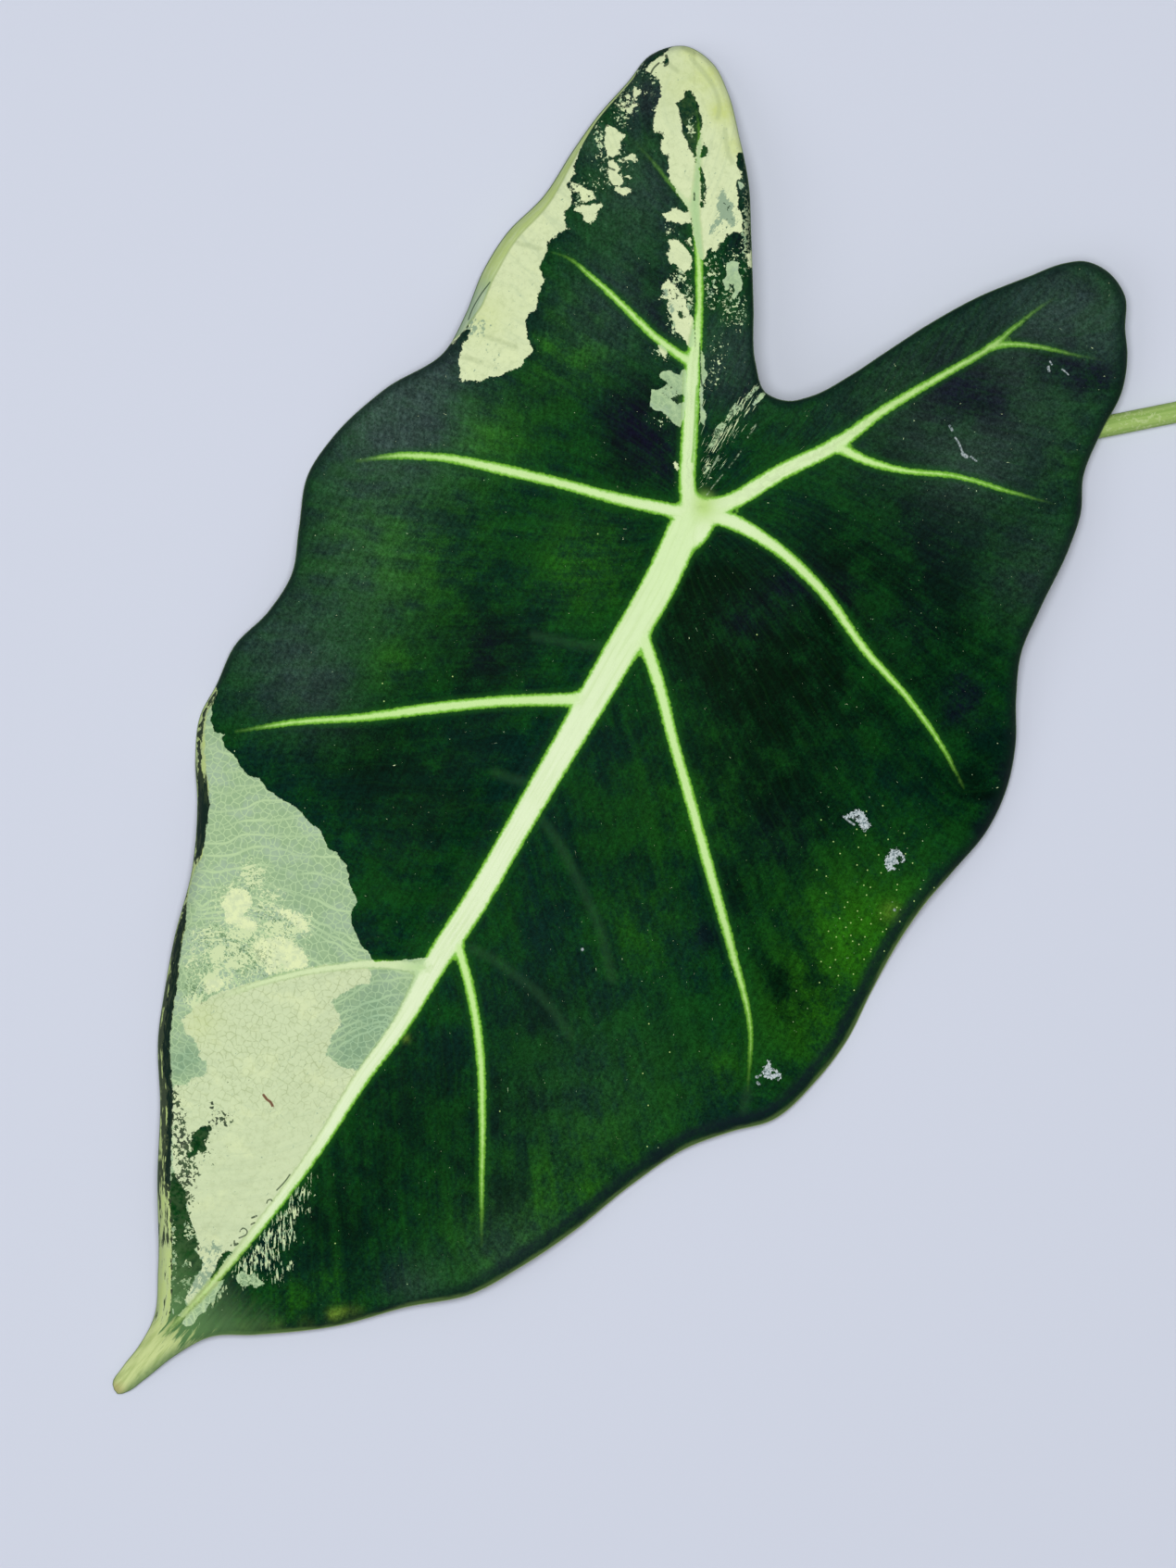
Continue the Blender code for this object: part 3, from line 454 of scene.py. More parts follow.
# Places with small markings, where the blade's points lie closer.
fineZones = [
    [(600, 190), (640, 112), (700, 45), (790, 40), (815, 200), (818, 400), (835, 440), (800, 530),
     (722, 530), (696, 460), (700, 300), (640, 262), (605, 260)],
    [(165, 1200), (250, 1200), (250, 1250), (350, 1240), (350, 1300), (325, 1350), (300, 1400),
     (260, 1400), (215, 1440), (165, 1440)],
    [(903, 868), (984, 868), (984, 945), (903, 945)], [(812, 1140), (850, 1140), (850, 1176), (812, 1176)],
    [(1018, 455), (1060, 455), (1060, 505), (1018, 505)], [(1126, 386), (1146, 386), (1146, 410),
                                                           (1126, 410)],
    [(280, 1176), (322, 1176), (322, 1222), (280, 1222)],
]

bladeForm = {                        # mm, as in the frame's blade
    "thickness": 0.8, "rimThickness": 0.34, "rimTaper": 1.6,
    "tipReach": 228.0, "tipDrop": 15.7, "tipPower": 1.7,
    "backReach": 92.0, "backDrop": 7.0, "backPower": 1.6,
    "leftReach": 68.0, "rightReach": 89.0, "sideDrop": 13.5, "sidePower": 1.8,
    "gutterRise": 2.5, "gutterWidth": 14.0,
    "waveHeight": 1.5, "waveLength": 62.0, "waveFade": 16.0, "leftLow": -95.0, "rightLow": -68.0,
    "bendSlope": 1.1, "veinSink": 0.26, "veinSinkReach": 2.6,
    "ribDepth": 0.6, "ridgeHeight": 0.08, "ribSpread": 0.62, "ribPower": 0.8,
    "hubRadius": 5.0, "hubDepth": 4.6, "quiltHeight": 0.07, "quiltWidth": 7.0, "quiltFade": 6.0,
    "rippleHeight": 0.3, "ripples": (11.0, 14.0, 7.3, 9.1), "rippleShifts": (1, 2), "rippleShare": 0.6,
    "rippleFade": 10.0, "sharpAngle": 55,
    "gridStep": 0.92, "fineStep": 0.46, "underStep": 1.7, "lineStep": 1.0, "leastStep": 0.4, "gridGap": 0.6,
    "shoulders": (0, 0.5, -0.5), "innerShoulders": (0.27, -0.27), "wideVein": 3.0, "leastShoulder": 1.1,
}
veinBand = {                         # mm, and shares of how brightly a vein shows
    "melt": 0.4, "deepest": 12.0, "dimPower": 1.2, "showPower": 4, "midribEnd": (9, 30), "veinEnd": (0, 12.0),
    "atEnd": 0.12, "midribStart": (7, 0), "startNarrow": 1.7, "dimNarrow": 0.2,
    "midribTone": (8, 70), "startTone": 0.62, "toneWidths": (1.4, 4.4), "mostTone": 0.7, "hubDepth": 2,
    "hubTone": 0.8,
}
# Between which two values of x, y, height in the photo or a distance each zone comes in, and shares.
bladeZones = {
    "tip": (26, 14), "leftSide": (-97, -101), "leftFrom": (-36, -40), "leftTo": (-182, -175),
    "leftOfTip": (0, -1.2), "lobeSide": (-8, -12), "lobeFrom": (34, 39), "lobeGrey": (285, 325),
    "lowRim": (925, 985), "lowBand": (-66, -34), "netty": (-55, -66),
    "uncrazed": (-122, -138), "uncrazedLobe": (0, 20),
    "tipSide": (0.1, 1.4), "tipEdge": (2.4, 0.6),
}
bladeMiddles = {
    "tip": (-124, -191), "tipHeading": (0.654, 0.756), "tipFarthest": 60, "tipAcross": 20,
    "besideTip": (-107, -171.5), "acrossTip": (18.5, -16), "acrossLength": 24.5,
    "tipEnd": (-124.3, -190.6), "tipEndSize": 1.6, "hub": (760, 548, 13, 16), "bend": 1.9,
    "uncrazed": (0.8, 0.55), "outside": -3.0, "fade": 3.0, "leastShare": 0.02,
    "cloudReach": 1.35, "mostGlow": 1.2,
}


# A list of pixels, drawn in mm.
def fromPhoto(points):
    x0, y0 = drawing["photoJunction"]
    scale = drawing["photoScale"]
    return np.array([((p[0] - x0) * scale, (y0 - p[1]) * scale) for p in points])


# A curve through the points, sampled about every step.
def smoothLine(points, step, closed=False):
    knots = np.array(points, float)
    if closed:
        knots = np.vstack([knots, knots[:1]])
    spans = np.linalg.norm(np.diff(knots[:, :2], axis=0), axis=1)
    slopes = np.diff(knots, axis=0) / spans[:, None]
    before, after = np.roll(spans, 1), spans
    tangents = np.zeros_like(knots)
    tangents[:-1] = np.roll(slopes, 1, axis=0) * after[:, None] + slopes * before[:, None]
    tangents[:-1] /= (before + after)[:, None]
    if closed:
        tangents[-1] = tangents[0]
    else:
        tangents[0], tangents[-1] = slopes[0], slopes[-1]
    samples = []
    for i, span in enumerate(spans):
        count = max(1, round(span / step))
        for k in range(count):
            t = k / count
            near, far = 2 * t**3 - 3 * t**2 + 1, 3 * t**2 - 2 * t**3
            leaving, arriving = (t**3 - 2 * t**2 + t) * span, (t**3 - t**2) * span
            samples.append(near * knots[i] + far * knots[i + 1]
                           + leaving * tangents[i] + arriving * tangents[i + 1])
    samples.append(samples[0] if closed else knots[-1])
    return np.array(samples)


# Distance from a line of (x, y, width) samples, the width there, and how far along it is.
def nearestOn(points, line, chunk=4000000):
    line = line if line.shape[1] > 2 else np.column_stack([line, np.ones(len(line))])
    start, run = line[:-1], np.diff(line, axis=0)
    reach = np.maximum((run[:, :2] ** 2).sum(axis=1), 1e-9)
    before = np.concatenate([[0], np.cumsum(np.sqrt(reach))])[:-1]
    gaps, widths, alongs = [], [], []
    for part in np.array_split(points, max(1, len(points) * len(start) // chunk)):
        offset = part[:, None, :2] - start[None, :, :2]
        share = np.clip((offset * run[None, :, :2]).sum(axis=2) / reach, 0, 1)
        gap = np.linalg.norm(offset - share[..., None] * run[None, :, :2], axis=2)
        best = gap.argmin(axis=1)
        rows = np.arange(len(part))
        gaps.append(gap[rows, best])
        widths.append(start[best, 2] + share[rows, best] * run[best, 2])
        alongs.append(before[best] + share[rows, best] * np.sqrt(reach[best]))
    return np.concatenate(gaps), np.concatenate(widths), np.concatenate(alongs)


def insideOf(points, loop):
    x, y = points[:, None, 0], points[:, None, 1]
    x0, y0, x1, y1 = loop[:-1, 0], loop[:-1, 1], loop[1:, 0], loop[1:, 1]
    rise = np.where(y1 == y0, 1e-9, y1 - y0)
    crossed = ((y0 > y) != (y1 > y)) & (x < (x1 - x0) * (y - y0) / rise + x0)
    return crossed.sum(axis=1) % 2 == 1


def isNear(points, line, reach):
    return ((points > line.min(axis=0) - reach) & (points < line.max(axis=0) + reach)).all(axis=1)


# Distance from a line, worked out only near it.
def gapTo(points, line, reach=3.0):
    gap, near = np.full(len(points), reach), isNear(points, line, reach)
    if near.any():
        gap[near] = np.minimum(nearestOn(points[near], line)[0], reach)
    return gap


# mm inside a polygon of pixels, negative outside and no lower than -3.
def depthInside(points, corners):
    loop = fromPhoto(corners + corners[:1])
    depth, near = -gapTo(points, loop), isNear(points, loop, 0)
    if near.any():
        chosen = np.flatnonzero(near)[insideOf(points[near], loop)]
        depth[chosen] = nearestOn(points[chosen], loop)[0]
    return depth


# 0 at an ellipse's middle, 1 on its edge, growing outwards. Sizes are pixels.
def ellipseField(points, x, y, halfWidth, halfHeight, turn=0):
    angle = math.radians(turn)
    dx, dy = (points - fromPhoto([(x, y)])[0]).T / drawing["photoScale"]
    u = dx * math.cos(angle) + dy * math.sin(angle)
    v = -dx * math.sin(angle) + dy * math.cos(angle)
    return np.hypot(u / halfWidth, v / halfHeight)


# How dense specks are: 1 in a spot's middle, 0 outside it.
def cloud(points, spots):
    reach = bladeMiddles["cloudReach"]
    return np.max([much * np.clip(reach - ellipseField(points, *place), 0, 1) for *place, much in spots],
                  axis=0)


def glow(points, spots):
    total = sum(much * np.exp(-ellipseField(points, x, y, size, size) ** 2) for x, y, size, much in spots)
    return np.clip(total, 0, bladeMiddles["mostGlow"])


def turned(points):
    cos, sin = math.cos(drawing["turn"]), math.sin(drawing["turn"])
    x, y = points[:, 0], points[:, 1]
    return np.column_stack([x * cos - y * sin, x * sin + y * cos])


# 0 to 1 from low to high, or the other way round where low is the greater.
def easedStep(value, low, high):
    t = np.clip((value - low) / (high - low), 0, 1)
    return t * t * (3 - 2 * t)


# Drawn mm with a height, moved to the junction, in metres.
def placed(points):
    x0, y0 = drawing["junction"]
    flat = turned(points)
    return np.column_stack([flat[:, 0] + x0, flat[:, 1] + y0, points[:, 2]]) * mm


# Where the blade's points lie

def pathsOf(lines, step):
    return [smoothLine(fromPhoto(points), bladeForm[step]) for points in lines]


marginLine = smoothLine(outline, bladeForm["lineStep"], closed=True)
veinLines = {name: smoothLine(points, bladeForm["lineStep"]) for name, points in veins.items()}
faintLines, capLines = pathsOf(faintVeins, "lineStep"), pathsOf(capVeins, "lineStep")
redLine, slitLine = pathsOf((redScratch, slit), "fineStep")
scarLines, darkLines, paleLines = [
    [(line, width)
     for line, (_, width) in zip(pathsOf([points for points, _ in threads], "fineStep"), threads)]
    for threads in (scarThreads, darkThreads, paleThreads)]


def bladeHeight(points, edge, bent, fan, beside):
    form = bladeForm
    across, along = turned(points).T
    tip = np.clip(-along / form["tipReach"], 0, None) ** form["tipPower"] * form["tipDrop"]
    back = np.clip(along / form["backReach"], 0, None) ** form["backPower"] * form["backDrop"]
    reach = np.where(across < 0, form["leftReach"], form["rightReach"])
    side = (np.abs(across) / reach) ** form["sidePower"] * form["sideDrop"]
    gutter = form["gutterRise"] * (1 - np.exp(-np.abs(across) / form["gutterWidth"]))
    low = np.where(across < 0, form["leftLow"], form["rightLow"])
    wave = form["waveHeight"] * np.cos(2 * math.pi * (along - low) / form["waveLength"])
    wave *= np.exp(-edge / form["waveFade"]) * np.clip(np.abs(across) / form["waveFade"], 0, 1)
    bend = form["bendSlope"] * np.clip(bent - edge, 0, None) ** 2 / bent
    sink = np.zeros(len(points))
    for gap, width, _ in beside.values():
        hollow = np.exp(-(gap / (form["veinSinkReach"] * width)) ** 2)
        sink = np.maximum(sink, form["veinSink"] * width * hollow)
    quilt = form["quiltHeight"] * np.cos(2 * math.pi * fan / form["quiltWidth"])
    quilt *= np.clip(edge / form["quiltFade"], 0, 1)
    a, b, c, d = form["ripples"]
    (x, y), (shiftX, shiftY) = points.T, form["rippleShifts"]
    ripple = np.sin(x / a + shiftX) * np.sin(y / b + shiftY) + form["rippleShare"] * np.sin(x / c + y / d)
    ripple *= form["rippleHeight"] * np.clip(edge / form["rippleFade"], 0, 1)
    return drawing["junctionHeight"] - tip - back - side + gutter - wave - bend - sink + quilt + ripple


def evenGrid(low, high, step):
    rows = []
    for row, y in enumerate(np.arange(low[1], high[1], step * math.sqrt(0.75))):
        x = np.arange(low[0] + (row % 2) * step / 2, high[0], step)
        rows.append(np.column_stack([x, np.full(len(x), y)]))
    return np.vstack(rows)


def treeOf(points):
    tree = KDTree(len(points))
    for i, p in enumerate(points):
        tree.insert((*p, 0), i)
    tree.balance()
    return tree


# Margin, veins with their shoulders, and an even grid between, finer where zones say so.
def bladePoints(step, zones, threads):
    form = bladeForm
    rim = [tuple(p) for p in marginLine[:-1, :2]]
    lines = []
    for line in veinLines.values():
        heading = np.gradient(line[:, :2], axis=0)
        left = np.column_stack([-heading[:, 1], heading[:, 0]])
        left /= np.linalg.norm(left, axis=1)[:, None]
        inner = form["innerShoulders"] if line[0, 2] > form["wideVein"] else ()
        for share in form["shoulders"] + inner:
            lines.append(line[:, :2] + share * left * np.maximum(line[:, 2:], form["leastShoulder"]))
    lines = np.vstack(lines + threads)
    lines = lines[insideOf(lines, marginLine) & (nearestOn(lines, marginLine)[0] > form["leastStep"])]
    tree = treeOf(lines)
    dropped, kept = set(), []
    for i, p in enumerate(lines):
        if i not in dropped:
            kept.append(tuple(p))
            dropped.update(j for _, j, _ in tree.find_range((*p, 0), form["leastStep"]))
    fixed = rim + kept
    loops = [fromPhoto(zone + zone[:1]) for zone in zones]
    grid = evenGrid(marginLine[:, :2].min(axis=0), marginLine[:, :2].max(axis=0), step)
    for loop in loops:
        grid = grid[~insideOf(grid, loop)]
    grids = [(grid, step)]
    for loop in loops:
        grid = evenGrid(loop.min(axis=0), loop.max(axis=0), form["fineStep"])
        grids.append((grid[insideOf(grid, loop)], form["fineStep"]))
    tree = treeOf(fixed)
    for grid, space in grids:
        keep = np.concatenate([insideOf(part, marginLine) for part in np.array_split(grid, 40)])
        fixed += [tuple(p) for p in grid[keep] if tree.find((*p, 0))[2] > form["gridGap"] * space]
    return fixed, len(rim)


# Evens out a grid of values between the fixed ones, as a stretched sheet would.
def relaxed(grid, fixed):
    known = grid.copy()
    for _ in range(flow["sweeps"]):
        padded = np.pad(grid, 1, mode="edge")
        mean = (padded[:-2, 1:-1] + padded[2:, 1:-1] + padded[1:-1, :-2] + padded[1:-1, 2:]) / 4
        grid = np.where(fixed, known, mean)
    return grid


# Which fan a point lies in: each main vein bounds two of them.
def fanOf(points):
    low, high = marginLine[:, :2].min(axis=0) - flow["beyond"], marginLine[:, :2].max(axis=0) + flow["beyond"]
    names = ("midrib", "leftLobe", "rightLobe", "leftThird")
    midrib, back, side, third = [veinLines[name][:, :2] for name in names]
    left = np.vstack([back[::-1], midrib, low, (low[0], high[1]), (back[-1, 0], high[1]), back[-1:]])
    right = np.vstack([side[::-1], midrib, low, (high[0], low[1]), (high[0], side[-1, 1]), side[-1:]])
    below = np.vstack([third, (low[0], third[-1, 1]), low, (high[0], low[1]), (high[0], third[0, 1]),
                       third[:1]])
    inLeft, inLow = insideOf(points, left), insideOf(points, below)
    inRight = insideOf(points, right) & ~inLeft
    return {"left": inLeft & ~inLow, "low": inLeft & inLow, "right": inRight, "back": ~inLeft & ~inRight}


# Each fan's values on a grid: they stay the same all along a thin vein.
def fanGrids():
    step = flow["cell"]
    around = flow["cellsAround"] * step
    low, high = marginLine[:, :2].min(axis=0) - around, marginLine[:, :2].max(axis=0) + around
    across, down = np.arange(low[0], high[0], step), np.arange(low[1], high[1], step)
    cells = np.array([(x, y) for y in down for x in across])
    shape = (len(down), len(across))
    lines = dict(veinLines, sinus=smoothLine(flow["sinus"], 1))
    grids = {}
    for name in fans:
        marked = []
        for vein, marks in fans[name].items():
            path = lines[vein][:, :2]
            run = np.concatenate([[0], np.cumsum(np.linalg.norm(np.diff(path, axis=0), axis=1))])
            if not isinstance(marks[0], tuple):
                marks = ((0, marks[0]), (1, marks[1]))
            values = np.interp(run / run[-1], *np.array(marks).T)
            marked.append((np.column_stack([path, values]), flow["veinReach"]))
        for value, points in fanGuides.get(name, []):
            path = smoothLine(fromPhoto(points), 1)
            marked.append((np.column_stack([path, np.full(len(path), value)]), flow["guideReach"]))
        nearest, number = np.full(len(cells), np.inf), np.zeros(len(cells))
        fixed = np.zeros(len(cells), bool)
        for line, reach in marked:
            gap, value, _ = nearestOn(cells, line)
            closer = gap < nearest
            nearest, number = np.where(closer, gap, nearest), np.where(closer, value, number)
            fixed |= gap < reach * step
        grids[name] = relaxed(number.reshape(shape), fixed.reshape(shape))
    return low, grids


fanLow, fanGrid = fanGrids()
print("fans laid out")


def fanField(points):
    total = np.zeros(len(points))
    for name, chosen in fanOf(points).items():
        grid = fanGrid[name]
        column, row = (points[chosen] - fanLow).T / flow["cell"]
        left, below = column.astype(int), row.astype(int)
        u, v = column - left, row - below
        total[chosen] = (grid[below, left] * (1 - u) * (1 - v) + grid[below, left + 1] * u * (1 - v)
                         + grid[below + 1, left] * (1 - u) * v + grid[below + 1, left + 1] * u * v)
    return total


# How fast a field changes over the flat triangles, averaged at the points.
def steepness(points, triangles, values):
    corner = points[triangles]
    side1, side2 = corner[:, 1] - corner[:, 0], corner[:, 2] - corner[:, 0]
    rise1 = values[triangles[:, 1]] - values[triangles[:, 0]]
    rise2 = values[triangles[:, 2]] - values[triangles[:, 0]]
    area = side1[:, 0] * side2[:, 1] - side1[:, 1] * side2[:, 0]
    area = np.where(np.abs(area) < 1e-6, 1e-6, area)
    slopeX = (rise1 * side2[:, 1] - rise2 * side1[:, 1]) / area
    slopeY = (rise2 * side1[:, 0] - rise1 * side2[:, 0]) / area
    steep = np.clip(np.hypot(slopeX, slopeY), *flow["slopes"])
    total, count = np.zeros(len(points)), np.zeros(len(points))
    for k in range(3):
        np.add.at(total, triangles[:, k], steep)
        np.add.at(count, triangles[:, k], 1)
    return total / np.maximum(count, 1)


# The main veins as one smooth band: mm inside its edge, and how it looks there.
def veinFields(points, beside):
    band = veinBand
    total, shown, tone, along, across = np.zeros((5, len(points)))

    def pullOf(inward):
        return np.exp(np.clip(inward, -band["deepest"], band["deepest"]) / band["melt"])

    for name, line in veinLines.items():
        gap, width, run = beside[name]
        length = np.linalg.norm(np.diff(line[:, :2], axis=0), axis=1).sum()
        share = run / length
        first, last, narrow, narrowEnd = veinShow[name]
        show = first + (last - first) * share ** band["dimPower" if name in dimVeins else "showPower"]
        narrow = narrow + (narrowEnd - narrow) * share
        if name == "midrib":
            show = show * easedStep(length - run, *band["midribEnd"])
            narrow = narrow + band["startNarrow"] * easedStep(run, *band["midribStart"])
            paleness = band["startTone"] + (1 - band["startTone"]) * easedStep(run, *band["midribTone"])
        else:
            show = show * (band["atEnd"] + (1 - band["atEnd"]) * easedStep(length - run, *band["veinEnd"]))
            low, high = band["toneWidths"]
            paleness = np.clip((width - low) / (high - low), 0, band["mostTone"])
        pull = pullOf(width / 2 - gap - narrow - band["dimNarrow"] * (1 - show))
        total += pull
        shown += pull * show
        tone += pull * paleness
        along += pull * run
        across += pull * gap
    fill = pullOf(band["hubDepth"] * (1 - ellipseField(points, *hubFill)))
    total, shown, tone = total + fill, shown + fill, tone + band["hubTone"] * fill
    return {"vein": band["melt"] * np.log(total), "veinShow": shown / total, "veinTone": tone / total,
            "veinRun": along / total, "veinGap": across / total}


# What the blade's material reads of the drawing's marks at each point, in mm where it is a distance.
def markFields(points):
    scale = drawing["photoScale"]
    fields = {"slit": gapTo(points, slitLine)}
    for name, lines in (("faint", faintLines), ("capVein", capLines)):
        fields[name] = np.min([gapTo(points, line) for line in lines], axis=0)
    for name, patches in (("mint", mintPatches), ("cream", creamPatches), ("bright", brightPatches),
                          ("dark", darkIslands), ("scar", scarFlakes)):
        fields[name] = np.max([depthInside(points, patch) for patch in patches], axis=0)
    for mark in scarHoles:
        hole = (ellipseField(points, *mark) - 1) * mark[3] * scale
        fields["scar"] = np.minimum(fields["scar"], hole)
    for name, threads in (("thread", scarLines), ("darkThread", darkLines), ("paleThread", paleLines),
                          ("red", [(redLine, 3)])):
        fields[name] = np.max([width * scale / 2 - gapTo(points, line) for line, width in threads], axis=0)
    for name, spots in (("paleSpecks", paleSpecks), ("strokeSpecks", strokeSpecks), ("dots", dotClouds),
                        ("creamSpecks", creamSpecks), ("darkSpecks", darkSpecks)):
        fields[name] = cloud(points, spots)
    # The grey places among these are painted sheen.
    for name, spots in (("lively", brightGreens), ("deep", deepGreens), ("paintedSheen", sheenSpots),
                        ("dusk", dusks), ("greyPale", greyPales), ("deepMint", deepMints),
                        ("warm", warmCreams),
                        ("yellow", yellowPlaces)):
        fields[name] = glow(points, spots)
    return fields


# What it reads of zones along the margin, at the tip and about the junction.
def zoneFields(points, edge, bent):
    middle = bladeMiddles

    def within(name, value):
        return easedStep(value, *bladeZones[name])

    def inStrip(zone, depth):
        faded = depth + middle["fade"] * (zone - 1)
        return np.where(zone > middle["leastShare"], faded, middle["outside"])

    x, y = points.T
    down = drawing["photoJunction"][1] - y / drawing["photoScale"]
    (tipX, tipY), (headingX, headingY) = middle["tip"], middle["tipHeading"]
    reach = np.minimum((x - tipX) * headingX + (y - tipY) * headingY, middle["tipFarthest"])
    tip = within("tip", reach)
    (sideX, sideY), (acrossX, acrossY) = middle["besideTip"], middle["acrossTip"]
    rightness = ((x - sideX) * acrossX + (y - sideY) * acrossY) / middle["acrossLength"]
    left = within("leftSide", x) * within("leftFrom", y) * within("leftTo", y)
    left = left * within("leftOfTip", rightness)
    lobe = within("lobeSide", x) * within("lobeFrom", y)
    low, high, tone = [np.interp(down, [row[0] for row in stripRows], values)
                       for values in np.array(stripRows).T[1:]]
    leftWidth, lobeWidth = [np.interp(down, *np.array(rows).T) for rows in (stripWidths, lobeWidths)]
    lowRim = within("lowRim", down) * (1 - left) * (1 - tip)
    crazed, crazedLobe = middle["uncrazed"]
    return {
        "tipReach": reach, "tipAcross": np.clip(rightness, -middle["tipAcross"], middle["tipAcross"]),
        "tipSide": within("tipSide", rightness) * within("tipEdge", edge) * tip,
        "tipEnd": np.exp(-(np.hypot(*(points - middle["tipEnd"]).T) / middle["tipEndSize"]) ** 2),
        "strip": inStrip(left, leftWidth - edge), "stripTone": tone,
        # Painted shade: where the turned-down left margin is nearly black.
        "stripShade": inStrip(left, np.minimum(edge - low, high - edge)),
        "lobeStrip": inStrip(lobe, lobeWidth - edge), "lobeGrey": within("lobeGrey", down),
        # Painted shade along the turned-down margin, darkest at its edge.
        "shade": np.clip(1 - edge / (middle["bend"] * bent), 0, 1) * (1 - np.maximum(left, lobe)) * (1 - tip),
        # Where the lower rim is olive with a painted highlight at its edge, and where its band of painted
        # shade lies.
        "lowRim": lowRim, "lowBand": lowRim * within("lowBand", x), "netty": within("netty", x),
        "crazed": (1 - crazed * within("uncrazed", y)) * (1 - crazedLobe * within("uncrazedLobe", y)),
        "hubTint": np.exp(-ellipseField(points, *middle["hub"]) ** 2),
    }


# One face of the blade: triangles, fields, the middle surface and how thick it is.
def bladeSheet(step, zones, threads):
    form = bladeForm
    drawn, rimCount = bladePoints(step, zones, threads)
    flat, _, triangles, *_ = delaunay_2d_cdt([Vector(p) for p in drawn], [], [list(range(rimCount))], 1, 1e-7)
    points, triangles = np.array([tuple(p) for p in flat]), np.array(triangles)
    if not np.allclose(points[:rimCount], drawn[:rimCount], atol=1e-4):
        raise RuntimeError("the margin's points came back in another order")
    print("blade outline filled:", len(points), "points")
    beside = {name: nearestOn(points, line) for name, line in veinLines.items()}
    edge, bent, run = nearestOn(points, marginLine)
    fan = fanField(points)
    spine = np.min([beside[name][0] for name in ("midrib", "leftLobe", "rightLobe")], axis=0)
    steep = steepness(points, triangles, fan)
    fields = {"edge": edge, "run": run, "fan": fan, "steep": steep, "spine": spine,
              **veinFields(points, beside), **markFields(points), **zoneFields(points, edge, bent)}
    middle = np.column_stack([points, bladeHeight(points, edge, bent, fan, beside)])
    corner = middle[triangles]
    facing = np.cross(corner[:, 1] - corner[:, 0], corner[:, 2] - corner[:, 0])
    flipped = facing[:, 2] < 0
    triangles[flipped] = triangles[flipped][:, ::-1]
    facing[flipped] *= -1
    normals = np.zeros_like(middle)
    for k in range(3):
        np.add.at(normals, triangles[:, k], facing)
    normals /= np.linalg.norm(normals, axis=1)[:, None]
    rib = np.zeros(len(points))
    for gap, width, _ in beside.values():
        share = np.clip(gap / (form["ribSpread"] * width), 0, 1)
        rib = np.maximum(rib, width * (0.5 + 0.5 * np.cos(math.pi * share)) ** form["ribPower"])
    full = form["thickness"] - form["rimThickness"]
    half = (form["rimThickness"] + full * easedStep(edge, 0, form["rimTaper"])) / 2
    return middle, triangles, fields, normals, half, rib


def bladeMesh():
    form = bladeForm
    threads = [line for line, _ in scarLines + darkLines + paleLines] + [redLine, slitLine]
    middle, triangles, fields, normals, half, rib = bladeSheet(form["gridStep"], fineZones, threads)
    top = middle + normals * (half + form["ridgeHeight"] * rib)[:, None]
    middle, under, underFields, normals, half, rib = bladeSheet(form["underStep"], [], [])
    hub = np.clip(np.hypot(*middle[:, :2].T) / form["hubRadius"], 0, 1)
    depth = np.maximum(form["ribDepth"] * rib, form["hubDepth"] * np.sqrt(1 - hub ** 2))
    bottom = middle - normals * half[:, None]
    bottom[:, 2] = np.maximum(bottom[:, 2] - depth, 0.0)
    count = len(top)
    sides = {pair for a, b, c in triangles.tolist() for pair in ((a, b), (b, c), (c, a))}
    rim = [face for a, b in sorted(sides) if (b, a) not in sides
           for face in ((b, a, a + count), (b, a + count, b + count))]
    faces = triangles.tolist() + (under[:, ::-1] + count).tolist() + rim
    mesh = bpy.data.meshes.new("blade")
    mesh.from_pydata(placed(np.vstack([top, bottom])).tolist(), [], faces)
    fields["upper"], underFields["upper"] = np.ones(count), np.zeros(len(bottom))
    for name in fields:
        layer = mesh.attributes.new(name, "FLOAT", "POINT")
        layer.data.foreach_set("value", np.concatenate([fields[name], underFields[name]]).astype(np.float32))
    mesh.shade_smooth()
    mesh.set_sharp_from_angle(angle=math.radians(form["sharpAngle"]))
    print("blade mesh:", len(mesh.polygons), "triangles")
    return mesh


# Node tools

# A node's output that can be added, taken away and multiplied.
class wire:
    def __init__(self, socket):
        self.socket, self.tree = socket, socket.id_data

    def __add__(self, other):
        return reckon("ADD", self, other)

    def __sub__(self, other):
        return reckon("SUBTRACT", self, other)

    def __rsub__(self, other):
        return reckon("SUBTRACT", other, self)

    def __mul__(self, other):
        return reckon("MULTIPLY", self, other)

    def into(self, socket):
        self.tree.links.new(self.socket, socket)


def addNode(tree, kind, inputs=None, **settings):
    node = tree.nodes.new(kind)
    for name, value in settings.items():
        setattr(node, name, value)
    for name, value in (inputs or {}).items():
        if isinstance(value, wire):
            value.into(node.inputs[name])
        else:
            node.inputs[name].default_value = value
    return node


# One output of a new node.
def made(tree, kind, inputs=None, output=0, **settings):
    return wire(addNode(tree, kind, inputs, **settings).outputs[output])


def reckon(operation, *values):
    tree = next(value.tree for value in values if isinstance(value, wire))
    return made(tree, "ShaderNodeMath", dict(enumerate(values)), operation=operation)


def eased(value, low, high, fromValue=0.0, toValue=1.0):
    inputs = {"Value": value, "From Min": low, "From Max": high, "To Min": fromValue, "To Max": toValue}
    return made(value.tree, "ShaderNodeMapRange", inputs, "Result", interpolation_type="SMOOTHSTEP")


def blend(factor, first, second, mode="MIX"):
    tree = next(value.tree for value in (factor, first, second) if isinstance(value, wire))
    inputs = {0: factor, 6: first, 7: second}
    return made(tree, "ShaderNodeMix", inputs, 2, data_type="RGBA", blend_type=mode)


def stretched(vector, scale):
    return made(vector.tree, "ShaderNodeMapping", {"Vector": vector, "Scale": (*scale, 1)[:3]})


